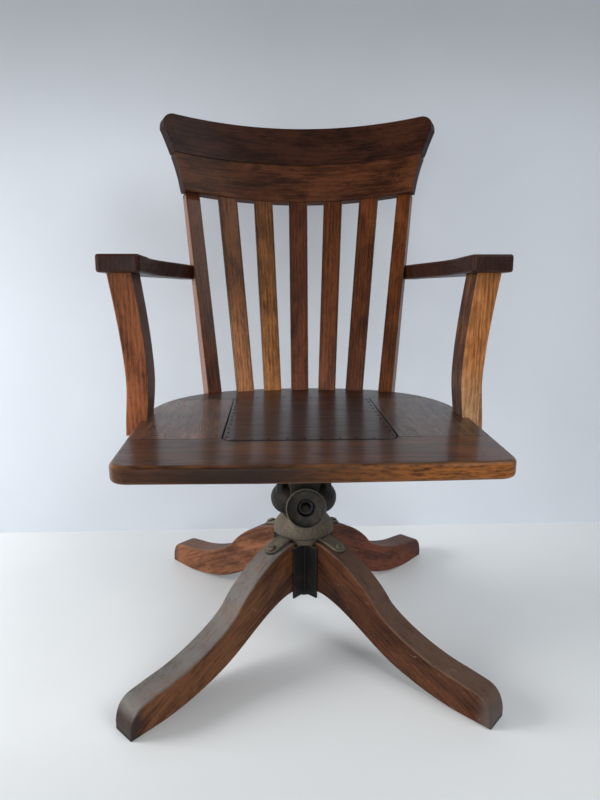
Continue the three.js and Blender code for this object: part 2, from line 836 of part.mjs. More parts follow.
// A stiffening rib under each arm, deepest at the plate.
function bracketRib({ side, from, to }) {
  const way = Math.sign(to);
  const top = plateTop - bracket.armThickness / 2;
  const root = bracket.width / 2 - bracket.armWidthRoot / 2;
  const end = to - way * bracket.armWidthTip;
  const low = top - bracket.armThickness / 2 - bracket.ribDepth;
  const half = bracket.ribThickness / 2;
  const ringAt = (x, y, bottom) =>
    [[x - half, top], [x + half, top], [x + half, bottom], [x - half, bottom]]
      .map(([px, pz]) => new THREE.Vector3(px, y, pz));
  const tipX = side * (root + (bracket.armSpread - root) * ((end - from) / (to - from)));
  const deep = ringAt(side * root, from - way * overrun, low);
  const shallow = ringAt(tipX, end, top - bracket.armThickness);
  return loft([deep, shallow]);
}

function bracketScrewPlaces() {
  return bracketArmPlaces().map(({ side, to }) => {
    const underArm = plateTop - clearance - bracket.armThickness;
    const place = new THREE.Matrix4().makeTranslation(side * bracket.armSpread, to, underArm);
    return place.multiply(new THREE.Matrix4().makeRotationX(Math.PI));
  });
}

function buildBracketScrews() {
  return bracketScrewPlaces().map((place, i) => {
    const name = ["front_left", "rear_left", "front_right", "rear_right"][i];
    const made = mesh("bracket_screw_" + name, screwShape(woodScrew), steel);
    made.applyMatrix4(place);
    return made;
  });
}

// Back: turned posts and slats splayed on a bend, under a bent crest of two boards

// Frame of the back: origin on the seat's top, leaning to the rear.
const backFrame = new THREE.Matrix4()
  .makeTranslation(0, back.set, seatTop)
  .multiply(new THREE.Matrix4().makeRotationX(-radians(back.lean)));

// How far the bend brings a place forward of the middle.
function bend(x, radius = back.radius) {
  return radius - Math.sqrt(radius * radius - x * x);
}

// A straight stick of eased rectangular section between two sections of the back.
function stick(low, high, grow = 0) {
  const rings = [low, high].map(({ x, y, z, width, depth, turn }) => {
    const [c, s] = [Math.cos(turn), Math.sin(turn)];
    return easedCorners(width + 2 * grow, depth + 2 * grow, back.edge).map(([u, v]) =>
      new THREE.Vector3(x + c * u - s * v, y + s * u + c * v, z),
    );
  });
  return loft(rings);
}

// The same stick carried on past both ends by a length at each.
function stretched(low, high, below, above) {
  const blend = (t) => {
    const at = {};
    for (const key of Object.keys(low)) at[key] = low[key] + (high[key] - low[key]) * t;
    return at;
  };
  const span = high.z - low.z;
  return [blend(-below / span), blend(1 + above / span)];
}

function slatEnds(index) {
  const offset = index - (back.slatCount - 1) / 2;
  const end = (pitch, width, z) => {
    const x = offset * pitch;
    const turn = -Math.asin(x / back.radius);
    return { x, y: back.slatThickness / 2 - bend(x), z, width, depth: back.slatThickness, turn };
  };
  return [
    end(backLow * back.slatLowShare, back.slatWidthLow, 0),
    end(backHigh * back.slatHighShare, back.slatWidthHigh, crest.rise),
  ];
}

function postEnds(side) {
  const end = (outside, depth, z) => {
    const x = side * (outside - back.postWidth / 2);
    return {
      x, z, depth,
      y: depth / 2 - bend(x),
      width: back.postWidth,
      turn: -side * radians(back.postTurn),
    };
  };
  return [end(backLow, back.postDepthLow, 0), end(backHigh, back.postDepthHigh, crest.rise)];
}

// Rise of the crest's lower edge towards its ends, at a place across the chair.
function lowerBow(x) {
  return crest.lowerBow * (x / crestLow) ** 2;
}

const stickTenon = seat.thickness - back.tenon / 2;
const slatNumbers = [...Array(back.slatCount).keys()];

function slatStick(index, grow = 0) {
  return stick(...stretched(...slatEnds(index), back.tenon + grow, back.tenon + grow), grow);
}

function postStick(side, grow = 0) {
  return stick(...stretched(...postEnds(side), stickTenon + grow, grow), grow);
}

// The post's round-cornered tenon into the crest is narrower than the post.
function postTenon(side, grow = 0) {
  const [, end] = postEnds(side);
  const thin = (z) => ({ ...end, z, width: back.postWidth / 2, depth: back.slatThickness });
  const top = end.z + lowerBow(end.x) + back.tenon;
  return stick(thin(end.z - back.tenon), thin(top + grow), grow);
}

function buildSlats() {
  return slatNumbers.map((i) => mesh("slat_" + (i + 1), slatStick(i), slatWood));
}

function buildBackPosts() {
  return sides.map(({ name, side }) => {
    const post = solid(postStick(side)).add(solid(postTenon(side)));
    return mesh("back_post_" + name, post, slatWood);
  });
}

// How the crest's ends flare from the lower corner to the ear, as a power of the way out
const flareShare = 0.71;

// Lower and upper edge of the crest at a place across the chair, above the seat.
function crestEdges(x) {
  const at = Math.abs(x);
  const lowCorner = crest.rise + crest.lowerBow;
  const ear = lowCorner + crest.earRise;
  let low = crest.rise + lowerBow(Math.min(at, crestLow));
  let high = crest.rise + crest.height;
  if (at > crestLow) {
    const out = (at - crestLow) / crest.flare;
    low = lowCorner + (ear - crest.earHeight / 2 - lowCorner) * out ** flareShare;
  }
  const pastTop = at - crestHigh + crest.earLength;
  if (pastTop > 0) {
    const out = Math.min(pastTop / crest.earLength, 1);
    high -= (high - ear - crest.earHeight / 2) * (1 - Math.sqrt(1 - out * out));
  }
  return [low, high];
}

// Half stations as shares of the crest's half width, close together round the ears
const crestShares = [0.14, 0.28, 0.42, 0.56, 0.7, 0.8, 0.868, 0.89, 0.915, 0.94, 0.96, 0.98, 0.993, 1];

function buildCrest() {
  const shares = [...crestShares.map((share) => -share).reverse(), 0, ...crestShares];
  const stations = shares.map((share) => share * crestHigh);
  const front = back.radius;
  const middle = front + crest.thickness / 2;
  const rings = stations.map((x) => {
    const [low, high] = crestEdges(x);
    const turn = Math.asin(x / front);
    const edge = Math.min(crest.edge, (high - low) / 3);
    return easedCorners(crest.thickness, high - low, edge).map(([u, v]) => {
      const reach = middle + u;
      const y = reach * Math.cos(turn) - front - back.slatInset;
      return new THREE.Vector3(reach * Math.sin(turn), y, (low + high) / 2 + v);
    });
  });
  const mortises = [
    ...slatNumbers.map((i) => slatStick(i, clearance)),
    ...sides.map(({ side }) => postTenon(side, clearance)),
    ...sides.map(({ side }) => postStick(side, clearance)),
  ];
  const whole = cut(solid(loft(rings)), ...mortises);
  return [
    mesh("crest_lower_board", whole.intersect(solid(crestHalf(-1))), darkWood),
    mesh("crest_upper_board", whole.intersect(solid(crestHalf(1))), darkWood),
  ];
}

// Everything under or over the joint between the crest's two boards.
function crestHalf(way) {
  const far = back.radius;
  const half = crestHigh + crest.thickness;
  const rings = [-1, -1 / 2, 0, 1 / 2, 1].map((share) => {
    const x = share * half;
    const bow = (crest.lowerBow * share * share) / 2;
    const joint = crest.rise + crest.height / 2 + bow + (way * clearance) / 2;
    return [[-far, joint], [far, joint], [far, joint + way * far], [-far, joint + way * far]]
      .map(([y, z]) => new THREE.Vector3(x, y, z));
  });
  return loft(rings);
}

// Seat: front and rear boards right across, two side boards between them, and a let-in panel

function seatOutline() {
  const [f, w] = [seat.frontWidth / 2, seat.width / 2];
  const [front, rear, r] = [-seatFront, seatRear, seat.cornerRadius];
  // Handles of the rear curve, as shares of the half width and of the depth behind the posts
  const [flatShare, turnShare, sideShare] = [0.66, 0.985, 0.64];
  const rearStart = postFront + armPost.depth;
  const turnY = rearStart + (rear - rearStart) * sideShare;
  const outline = new THREE.Shape();
  outline.moveTo(r - f, front + seat.crown);
  outline.quadraticCurveTo(0, front - seat.crown, f - r, front + seat.crown);
  outline.quadraticCurveTo(f, front + seat.crown, f, front + seat.crown + r);
  outline.lineTo(w, postFront);
  outline.lineTo(w, rearStart);
  outline.bezierCurveTo(w * turnShare, turnY, w * flatShare, rear, 0, rear);
  outline.bezierCurveTo(-w * flatShare, rear, -w * turnShare, turnY, -w, rearStart);
  outline.lineTo(-w, postFront);
  outline.lineTo(-f, front + seat.crown + r);
  outline.quadraticCurveTo(-f, front + seat.crown, r - f, front + seat.crown);
  return outline;
}

// Outline of the let-in panel, grown by a clearance for the rebate that holds it.
function panelPlan(grow = 0) {
  const half = panel.width / 2 + grow;
  const [front, rear, r] = [panelFront - grow, panelRear + grow, panel.cornerRadius];
  const plan = new THREE.Shape();
  plan.moveTo(r - half, front);
  plan.lineTo(half - r, front);
  plan.quadraticCurveTo(half, front, half, front + r);
  plan.lineTo(half, rear - r);
  plan.quadraticCurveTo(half, rear, half - r, rear);
  plan.lineTo(r - half, rear);
  plan.quadraticCurveTo(-half, rear, -half, rear - r);
  plan.lineTo(-half, front + r);
  plan.quadraticCurveTo(-half, front, r - half, front);
  return plan;
}

function buildSeat() {
  const rebate = slab(panelPlan(clearance), panel.thickness + overrun)
    .translate(0, 0, seatTop - panel.thickness - clearance);
  const inner = panel.width / 2 - panel.ledge;
  const through = [seatBottom - overrun, seatTop + overrun];
  const opening = block([-inner, inner], [frontJoint, rearJoint], through);
  const blank = cut(
    solid(slab(seatOutline(), seat.thickness, seat.edge, seatEdgeSteps).translate(0, 0, seatBottom)),
    rebate,
    opening,
    ...slatNumbers.map((i) => slatStick(i, clearance).applyMatrix4(backFrame)),
    ...sides.map(({ side }) => postStick(side, clearance).applyMatrix4(backFrame)),
    ...sides.map(({ side }) => armPostBlank(side, clearance)),
    ...bracketScrewPlaces().map((place) => screwHole(woodScrew).applyMatrix4(place)),
  );
  const gap = clearance / 2;
  const heights = [0, seatTop + overrun];
  const far = seat.width;
  const between = [frontJoint + gap, rearJoint - gap];
  const regions = {
    seat_front_board: block([-far, far], [-far, frontJoint - gap], heights),
    seat_left_board: block([-far, 0], between, heights),
    seat_right_board: block([0, far], between, heights),
    seat_rear_board: block([-far, far], [rearJoint + gap, far], heights),
  };
  return Object.entries(regions).map(([name, region]) =>
    mesh(name, blank.intersect(solid(region)), seatWood),
  );
}

function buildSeatPanel() {
  const shape = slab(panelPlan(), panel.thickness).translate(0, 0, seatTop - panel.thickness);
  return mesh("seat_panel", shape, seatWood);
}

// Arm posts: swept sideways, let into the seat's flanks, cut to the arm above

// Shares of the post's height, and of its bow
const bowShares = [[0, 0.12], [0.1, 0], [0.31, -0.31], [0.52, -0.19], [0.74, 0.16], [1, 0.72]];

function armPostBlank(side, grow = 0) {
  const inner = bowShares.map(([up, out]) =>
    new THREE.Vector2(postInner + armPost.bow * out - grow, seatBottom - grow + postHeight * up),
  );
  const widen = (p, i) => {
    const [up] = bowShares[i];
    const width = armPost.widthFoot + (armPost.widthTop - armPost.widthFoot) * up + 2 * grow;
    return new THREE.Vector2(p.x + width, p.y);
  };
  const outer = inner.map(widen);
  const drawn = (points) => new THREE.SplineCurve(points).getPoints(curveSteps + bowShares.length);
  const outline = new THREE.Shape([...drawn(inner), ...drawn(outer).reverse()]);
  return upright(outline, armPost.depth + 2 * grow, grow > 0 ? 0 : armPost.edge)
    .translate(0, postFront + armPost.depth / 2, 0)
    .scale(side, 1, 1);
}

// Arms: a broad paddle that sweeps in to a narrow tail on the back post

const armFront = postFront - arm.overhang;
const armRear = backRearAt(arm.frontHeight - arm.thickness) + arm.pastPost;

// Rear face of a back post at a height above the seat.
function backRearAt(height) {
  const along = height / Math.cos(radians(back.lean));
  const share = along / crest.rise;
  const depth = back.postDepthLow + (back.postDepthHigh - back.postDepthLow) * share;
  const outside = backLow + back.splay * share;
  return back.set + height * Math.tan(radians(back.lean)) + depth - bend(outside);
}

function armOutline() {
  const length = armRear - armFront;
  const r = arm.cornerRadius;
  // Shares of the arm's length where the curves start and where their handles lie
  const [startShare, outShare, inShare, tailShare] = [0.22, 0.5, 0.72, 0.76];
  const swell = arm.cornerRadius; // how far the inner curve bows towards the sitter's side
  const start = length * startShare;
  const plan = new THREE.Shape();
  plan.moveTo(armInner + r, 0);
  plan.lineTo(armOuter - r, 0);
  plan.quadraticCurveTo(armOuter, 0, armOuter, r);
  plan.lineTo(armOuter, start);
  plan.bezierCurveTo(
    armOuter, length * outShare, tailOuter + swell, length * tailShare, tailOuter, length,
  );
  plan.lineTo(tailInner, length);
  plan.bezierCurveTo(
    tailInner + swell, length * inShare, armInner + swell, length * outShare, armInner, start,
  );
  plan.lineTo(armInner, r);
  plan.quadraticCurveTo(armInner, 0, armInner + r, 0);
  return plan;
}

function armBlank(side, lower = 0) {
  return slab(armOutline(), arm.thickness, arm.edge)
    .translate(0, 0, -arm.thickness - lower)
    .rotateX(-radians(arm.fall))
    .translate(0, armFront, seatTop + arm.frontHeight)
    .scale(side, 1, 1);
}

function buildArms() {
  return sides.flatMap(({ name, side }) => {
    const post = cut(solid(armPostBlank(side)), armBlank(side, clearance));
    const rest = cut(solid(armBlank(side)), postStick(side, clearance).applyMatrix4(backFrame));
    return [
      mesh("arm_post_" + name, post, slatWood),
      mesh("arm_" + name, rest, darkWood),
    ];
  });
}

// The chair

const base = group(...buildLegs(), buildHub(), ...buildTongueScrews());
const turning = group(buildWasher(), buildBellNut());
const tension = group(buildRod(), buildSpring(), buildPlate(), buildKnob());
tension.applyMatrix4(rodFrame);
const column = group(buildSpindle(), buildYoke(), ...buildPivot(), tension);
const backRest = group(...buildSlats(), ...buildBackPosts(), ...buildCrest());
backRest.applyMatrix4(backFrame);
const seatUnit = group(
  buildBracket(),
  ...buildBracketScrews(),
  ...buildSeat(),
  buildSeatPanel(),
  ...buildArms(),
  backRest,
);

const chair = group(base, turning, column, seatUnit);
chair.updateMatrixWorld(true);
const bounds = new THREE.Box3().setFromObject(chair);
chair.position.y = -(bounds.min.y + bounds.max.y) / 2;

export default group(chair);
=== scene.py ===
"""Looks for a bankers swivel chair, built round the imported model.

Shapes are drawn in millimetres about the spindle's axis; solid() moves them to the frame's metres.
"""

import json
import math
from types import SimpleNamespace as Sizes

import bmesh
import bpy
import numpy as np
from mathutils import Matrix, Vector

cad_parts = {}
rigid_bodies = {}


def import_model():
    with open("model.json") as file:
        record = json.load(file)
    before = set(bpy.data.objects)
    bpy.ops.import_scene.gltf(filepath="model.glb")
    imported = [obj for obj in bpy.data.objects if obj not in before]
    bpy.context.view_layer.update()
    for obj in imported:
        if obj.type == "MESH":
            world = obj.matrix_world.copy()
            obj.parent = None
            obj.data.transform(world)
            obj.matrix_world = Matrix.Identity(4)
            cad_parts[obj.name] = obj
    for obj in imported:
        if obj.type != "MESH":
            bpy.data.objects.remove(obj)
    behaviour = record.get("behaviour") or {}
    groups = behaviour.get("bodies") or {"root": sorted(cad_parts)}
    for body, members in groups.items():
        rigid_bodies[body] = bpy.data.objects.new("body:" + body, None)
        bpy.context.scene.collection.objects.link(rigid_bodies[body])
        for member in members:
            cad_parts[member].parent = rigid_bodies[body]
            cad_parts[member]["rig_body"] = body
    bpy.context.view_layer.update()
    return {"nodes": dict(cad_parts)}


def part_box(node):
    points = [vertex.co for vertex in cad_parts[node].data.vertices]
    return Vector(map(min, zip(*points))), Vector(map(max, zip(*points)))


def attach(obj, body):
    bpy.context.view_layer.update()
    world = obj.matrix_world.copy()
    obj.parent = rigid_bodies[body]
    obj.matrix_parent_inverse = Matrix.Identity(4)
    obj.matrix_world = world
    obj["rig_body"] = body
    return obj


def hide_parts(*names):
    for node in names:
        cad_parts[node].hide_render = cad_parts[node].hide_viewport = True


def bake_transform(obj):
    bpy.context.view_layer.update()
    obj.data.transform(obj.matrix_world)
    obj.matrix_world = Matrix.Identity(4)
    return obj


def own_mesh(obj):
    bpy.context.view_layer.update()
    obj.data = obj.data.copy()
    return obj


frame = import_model()

MM = 0.001
SHARP = math.radians(50)  # faces that meet at more than this keep a sharp edge
SIDES = {"left": -1, "right": 1}


def middle(node):
    return np.mean(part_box(node), axis=0)


ORIGIN = np.array([0, middle("spindle")[1], 0])  # where the spindle's axis meets the floor


def box(node):
    """Lowest and highest corner of a CAD node, in the millimetres that the shapes are drawn in."""
    return (np.array(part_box(node)) - ORIGIN) / MM


# Driving dimensions, as in the solids

CLEARANCE = 0.3
OVERRUN = 1  # how far a shape runs into the one that it is fused with, or past what it cuts
LEG = Sizes(reach=388, thickness=44, edge=3.5, tilt=45, grain=-27)
HUB = Sizes(
    sleeve=24, flange=46, thickness=11, cheek=3.5, cheek_reach=54, cheek_low=80, sleeve_edge=1.6,
    edge=1.8,
)
TONGUE = Sizes(length=95, width=27, thickness=4.5, screw_at=84)
WASHER_EDGE = 0.5
BELL = Sizes(rim=55, shoulder=44, top=38, wall=5, boss=27, lip=1.6, edge=1.5, top_edge=1.2)
SPINDLE = Sizes(radius=14, root=11.4, pitch=7.5, chamfer=2)
YOKE = Sizes(barrel=30, length=120, boss=27, outside=98, arm=11, depth=42, edge=1.2, boss_edge=1.5)
BOLT = Sizes(
    radius=8, edge=0.2, pitch=1.75, groove=0.9, chamfer=1, head=13, head_thickness=5, head_edge=2.2,
    nut_across=24, nut_cone=20, nut_rise=4.2,
)
ROD = Sizes(
    radius=6, shank=5.9, edge=0.8, tilt=9, pitch=2, groove=0.9, chamfer=1, thread_back=6,
    from_spindle=2, past_wheel=1,
)
SPRING = Sizes(wire=4.2, radius=17.5, length=33.5, curls=4, cut=3.25, squashed=0.49)
PLATE = Sizes(radius=21, thickness=2.6, edge=0.6)
KNOB = Sizes(
    radius=34.5, length=16, hub=15, bead=3.4, dish=6, recess=14.5, recess_depth=6, back_edge=2.5,
    recess_edge=1.6,
)
BRACKET = Sizes(
    width=74, cheek=10, eye=20, top=9, plate=120, fork=10, fork_below=19, fork_width=50, arm=8,
    arm_root=34, arm_tip=25, front=262, rear=122, spread=60, rib=6, rib_depth=16,
    rib_overlap=6, web_inset=3, edge=0.8, cheek_edge=1, cheek_width=80,
)
SEAT = Sizes(
    front=325, rear=180, front_width=522, width=540, crown=4, corner=30, edge=6, joint=200,
    joint_edge=0.9, flat_share=0.66, side_share=0.985, turn_share=0.64,
)
PANEL = Sizes(
    width=256, ahead=213, behind=86, thickness=6, corner=24, ledge=14, proud=0.6, inset=0.5, edge=1,
    taper=1.6,
)
NAIL = Sizes(
    radius=2.3, length=1.5, brim=0.6, dome=[(1.9, 0.9), (1.0, 1.1)], height=1.15, inset=7, pitch=25,
    sway=0.9,
)
ARM_POST = Sizes(inset=256, ahead=90, depth=56, foot=33.5, top=39, sweep=16, height=262, edge=2.5)
ARM = Sizes(
    inner=250, outer=316.5, overhang=20, thickness=27, rear_inner=206, rear_width=34, past_post=8,
    height=260, fall=2.5, corner=9, edge=4,
)
# Pairs are at the seat and at the crest
BACK = Sizes(
    set=158, lean=12.4, radius=520, outside=(190, 226), post=28, depth=(38, 26), turn=21, slats=5,
    pitch=(55.2, 71.2), slat_width=(35, 37.5), slat=11, inset=3, edge=1.6, tenon=14,
    post_above=2,
)
CREST = Sizes(
    rise=382, height=150, thickness=25, half_low=223, half_high=257, half_top=238, bow=5,
    ear_rise=122, ear=8, edge=3.2, joint_edge=0.7, joint_gap=0.7, flare=0.71,
)
LAG = Sizes(shank=3.4, head=7.5, height=3.4, length=26)
WOOD_SCREW = Sizes(shank=2.6, head=5.6, height=2.4, length=20)

# Shifts along the grain, so that no two boards share a figure
SHIFT = Sizes(leg=500, seat=700, panel=3500, post=900, arm=600, slat=800, crest=2000)

# Heights read from the frame

SEAT_BOTTOM, SEAT_TOP = box("seat_front_board")[:, 2]
SHOULDER = box("leg_front_left")[1, 2]
WASHER_LOW, WASHER_HIGH = box("thrust_washer")[:, 2]
FLANGE_TOP = WASHER_LOW - CLEARANCE
FLANGE_BOTTOM = FLANGE_TOP - HUB.thickness
SLEEVE_BOTTOM = box("hub")[0, 2]
BELL_RIM, BELL_TOP = box("bell_nut")[:, 2]
PIVOT = middle("pivot_bolt")[2] / MM
YOKE_BOTTOM = box("tilt_yoke")[0, 2]
BARREL = YOKE_BOTTOM + YOKE.barrel
BRACKET_TOP = SEAT_BOTTOM - CLEARANCE

# Places along the rod, from the barrel's axis outwards

FORK_BACK = YOKE.barrel + CLEARANCE
SPRING_START = FORK_BACK + BRACKET.fork + CLEARANCE
PLATE_START = SPRING_START + SPRING.length + CLEARANCE
KNOB_START = PLATE_START + PLATE.thickness + CLEARANCE
ROD_START = SPINDLE.radius + CLEARANCE + ROD.from_spindle
ROD_END = KNOB_START + KNOB.length - KNOB.dish + ROD.past_wheel


def move(x=0, y=0, z=0):
    return Matrix.Translation((x, y, z))


def turn(axis, degrees):
    return Matrix.Rotation(math.radians(degrees), 4, axis)


def mirrored(side):
    return Matrix.Diagonal((side, 1, 1, 1))


UPRIGHT = turn("X", 90)  # for an outline drawn in (x, z) whose thickness runs along Y
ROD_PLACE = move(z=BARREL) @ turn("X", 90 - ROD.tilt)
BACK_PLACE = move(y=BACK.set, z=SEAT_TOP) @ turn("X", -BACK.lean)
LEGS = [
    (name, turn("Z", LEG.tilt + 90 * i))
    for i, name in enumerate(["rear_right", "rear_left", "front_left", "front_right"])
]

# Curves in a plane


def bezier(points, steps=24):
    """Points along a quadratic or cubic curve, without the first."""
    t = np.linspace(0, 1, steps + 1)[1:, None]
    p = [np.array(point, float) for point in points]
    if len(p) == 3:
        return (1 - t) ** 2 * p[0] + 2 * t * (1 - t) * p[1] + t**2 * p[2]
    return (1 - t) ** 3 * p[0] + 3 * t * (1 - t) ** 2 * p[1] + 3 * t**2 * (1 - t) * p[2] + t**3 * p[3]


def arc(centre, radius, start, end, steps=24):
    """Points on an arc between two angles in degrees."""
    t = np.radians(np.linspace(start, end, steps + 1))
    return np.column_stack([centre[0] + radius * np.cos(t), centre[1] + radius * np.sin(t)])


def spline(points, steps=40):
    """Points on a smooth curve through the given ones, the same curve as three.js draws."""
    p = np.array(points, float)
    made = []
    for t in np.linspace(0, len(p) - 1, steps + 1):
        i = min(int(t), len(p) - 2)
        w = t - i
        a, b, c, d = p[max(i - 1, 0)], p[i], p[i + 1], p[min(i + 2, len(p) - 1)]
        cubic = (2 * a - 5 * b + 4 * c - d) * w**2 + (3 * b - a - 3 * c + d) * w**3
        made.append(0.5 * (2 * b + (c - a) * w + cubic))
    return np.array(made)


def path(start, *parts):
    """Points and curves one after another. A list is a curve: its steps and its further points."""
    made = [np.array([start], float)]
    for part in parts:
        if isinstance(part, list):
            made.append(bezier([made[-1][-1], *part[1:]], part[0]))
        else:
            made.append(np.atleast_2d(np.array(part, float)))
    return np.vstack(made)


def counterclockwise(outline):
    x, y = outline.T
    area = np.sum(x * np.roll(y, -1) - np.roll(x, -1) * y)
    return outline if area > 0 else outline[::-1]


def unit(rows):
    return rows / np.maximum(np.linalg.norm(rows, axis=1, keepdims=True), 1e-9)


def inward(outline):
    """For each point of a counterclockwise outline, the step inwards that clears both sides by one."""
    a = unit(np.roll(outline, -1, axis=0) - outline)
    b = unit(outline - np.roll(outline, 1, axis=0))
    normal_a = np.column_stack([-a[:, 1], a[:, 0]])
    normal_b = np.column_stack([-b[:, 1], b[:, 0]])
    both = unit(normal_a + normal_b)
    return both / np.clip(np.sum(both * normal_a, axis=1, keepdims=True), 0.6, 1)


def keyhole(outline, centre, radius):
    """An outline with a round hole in it, joined to it by a slit of no width."""
    outline = counterclockwise(outline)
    hole = arc(centre, radius, 360, 0, 48)
    start = np.argmin(np.linalg.norm(outline - hole[0], axis=1))
    rolled = np.roll(outline, -start, axis=0)
    return np.vstack([rolled, rolled[:1], hole])


def rounded_profile(corners, radius, steps=5):
    """A profile whose inner corners are rounded by a radius, or by less where there is no room."""
    corners = np.array(corners, float)
    made = [corners[:1]]
    for before, at, after in zip(corners[:-2], corners[1:-1], corners[2:]):
        back, ahead = np.linalg.norm(at - before), np.linalg.norm(after - at)
        cut = min(radius, min(back, ahead) / 2.05)
        start = at + (before - at) / back * cut
        end = at + (after - at) / ahead * cut
        made += [start[None], bezier([start, at, end], steps)]
    return np.vstack([*made, corners[-1:]])


def ring_profile(inner, outer, low, high, edge):
    """Profile of a ring, or of a plain round bar where inner is 0, with its outer corners rounded."""
    return rounded_profile([(inner, low), (outer, low), (outer, high), (inner, high)], edge)


# Closed skins: each is (vertices, faces, wear), where wear is 1 in the middle of a rounded edge


def bridged(rings, count, closed=False):
    """Faces that join each ring of points to the next one."""
    faces = []
    for i in range(rings if closed else rings - 1):
        a, b = i * count, (i + 1) % rings * count
        for j in range(count):
            k = (j + 1) % count
            faces.append((a + j, a + k, b + k, b + j))
    return faces


def skin(rings, wear=None):
    """Skin over rings of points that all have the same count, with a flat cap at each end."""
    rings = np.array(rings, float)
    m, n, _ = rings.shape
    caps = [tuple(range(n))[::-1], tuple(range((m - 1) * n, m * n))]
    wear = np.zeros(m * n) if wear is None else np.array(wear, float).ravel()
    return rings.reshape(-1, 3), bridged(m, n) + caps, wear


def slab(outline, thickness, edge, rounds=4):
    """An outline made thick along Z, centred on Z = 0, with its long edges rounded inside it."""
    outline = counterclockwise(outline)
    step = inward(outline)
    turns = np.linspace(math.pi / 2, 0, rounds + 1)
    lower = [
        (edge * (1 - math.sin(t)) - thickness / 2, edge * (1 - math.cos(t)), math.sin(2 * t))
        for t in turns
    ]
    rings, wear = [], []
    for z, inset, worn in lower + [(-z, inset, worn) for z, inset, worn in reversed(lower)]:
        flat = outline + step * inset
        rings.append(np.column_stack([flat, np.full(len(flat), z)]))
        wear.append(np.full(len(flat), worn))
    return skin(rings, wear)


def eased(width, depth, edge, low_edge=None, rounds=3):
    """Corners of a rectangle with rounded edges, as (across, deep, wear); sharp edges wear little."""
    made = []
    for x, y, start in [(1, 1, 0), (-1, 1, 90), (-1, -1, 180), (1, -1, 270)]:
        r = low_edge if low_edge and y < 0 else edge
        for t in np.linspace(0, 90, rounds + 1):
            angle = math.radians(start + t)
            worn = math.sin(math.radians(2 * t)) * (1 if r > 1 else 0.2)
            across = x * (width / 2 - r) + r * math.cos(angle)
            made.append((across, y * (depth / 2 - r) + r * math.sin(angle), worn))
    return np.array(made)


def turned(profile, steps=96, closed=False):
    """A solid of revolution from (radius, height) pairs that end on Z, or close on themselves."""
    angles = np.linspace(0, 2 * math.pi, steps, endpoint=False)
    rings = [level_ring(r, angles, z) for r, z in profile]
    return weld(np.vstack(rings), bridged(len(rings), steps, closed))


def level_ring(radii, angles, z):
    return np.column_stack([radii * np.cos(angles), radii * np.sin(angles), np.full(len(angles), z)])


def threaded(radius, root, pitch, low, high, chamfer, square=True):
    """A screw thread about Z, as a skin whose radius follows the helix."""
    per_pitch, steepness = (16, 2.2) if square else (8, 0.5)
    angles = np.linspace(0, 2 * math.pi, 72, endpoint=False)
    rings = []
    for z in np.arange(low, high + 1e-6, pitch / per_pitch):
        wave = np.cos(2 * math.pi * (z / pitch) - angles)
        radii = root + (radius - root) * np.clip(0.5 + wave * steepness, 0, 1)
        limit = radius - max(0.0, chamfer - (z - low), chamfer - (high - z))
        rings.append(level_ring(np.minimum(radii, limit), angles, z))
    return skin(rings)


def weld(vertices, faces):
    """Joins points that lie together and drops the faces that this leaves with no area."""
    rounded = np.round(vertices, 4)
    _, first, where = np.unique(rounded, axis=0, return_index=True, return_inverse=True)
    where = np.ravel(where)
    rings = [tuple(dict.fromkeys(int(v) for v in where[list(face)])) for face in faces]
    return vertices[first], [ring for ring in rings if len(ring) > 2], np.zeros(len(first))


def block(low, high):
    (x0, y0, z0), (x1, y1, z1) = low, high
    return skin([[(x0, y0, z), (x1, y0, z), (x1, y1, z), (x0, y1, z)] for z in (z0, z1)])


def moved(shape, matrix):
    vertices, faces, wear = shape
    rows = np.array(matrix)
    return vertices @ rows[:3, :3].T + rows[:3, 3], faces, wear


def joined(*shapes):
    """Several skins as one list of vertices and faces."""
    count, faces = 0, []
    for vertices, own, _ in shapes:
        faces += [tuple(i + count for i in face) for face in own]
        count += len(vertices)
    return np.vstack([s[0] for s in shapes]), faces, np.concatenate([s[2] for s in shapes])


# Objects


def add(name, data):
    thing = bpy.data.objects.new(name, data)
    bpy.context.scene.collection.objects.link(thing)
    return thing


def stand(thing, place, direction):
    """Puts a camera or lamp at a place and points it along a direction."""
    thing.location = place
    thing.rotation_euler = Vector(direction).to_track_quat("-Z", "Y").to_euler()


def remember(mesh, name, values):
    """Keeps a number or a vector for each vertex on the mesh, for the material to read."""
    values = np.asarray(values, np.float32)
    kind, field = ("FLOAT_VECTOR", "vector") if values.ndim == 2 else ("FLOAT", "value")
    mesh.attributes.new(name, kind, "POINT").data.foreach_set(field, values.ravel())


def modify(thing, kind, **settings):
    modifier = thing.modifiers.new(kind.lower(), kind)
    for key, value in settings.items():
        setattr(modifier, key, value)


def settle(thing):
    """Makes a piece's modifiers part of its mesh."""
    bpy.context.view_layer.update()
    shown = thing.evaluated_get(bpy.context.evaluated_depsgraph_get())
    mesh = bpy.data.meshes.new_from_object(shown)
    thing.modifiers.clear()
    thing.data = mesh


def solid(name, shape):
    """An object from a closed skin in millimetres, at its place in the frame."""
    mesh = bpy.data.meshes.new(name)
    mesh.from_pydata((shape[0] * MM + ORIGIN).tolist(), [], shape[1])
    work = bmesh.new()
    work.from_mesh(mesh)
    bmesh.ops.recalc_face_normals(work, faces=work.faces)
    work.to_mesh(mesh)
    work.free()
    return add(name, mesh)


def cut_by(thing, shape, operation):
    cutter = solid("cutter", shape)
    modify(thing, "BOOLEAN", operation=operation, object=cutter, solver="EXACT")
    settle(thing)
    bpy.data.objects.remove(cutter)


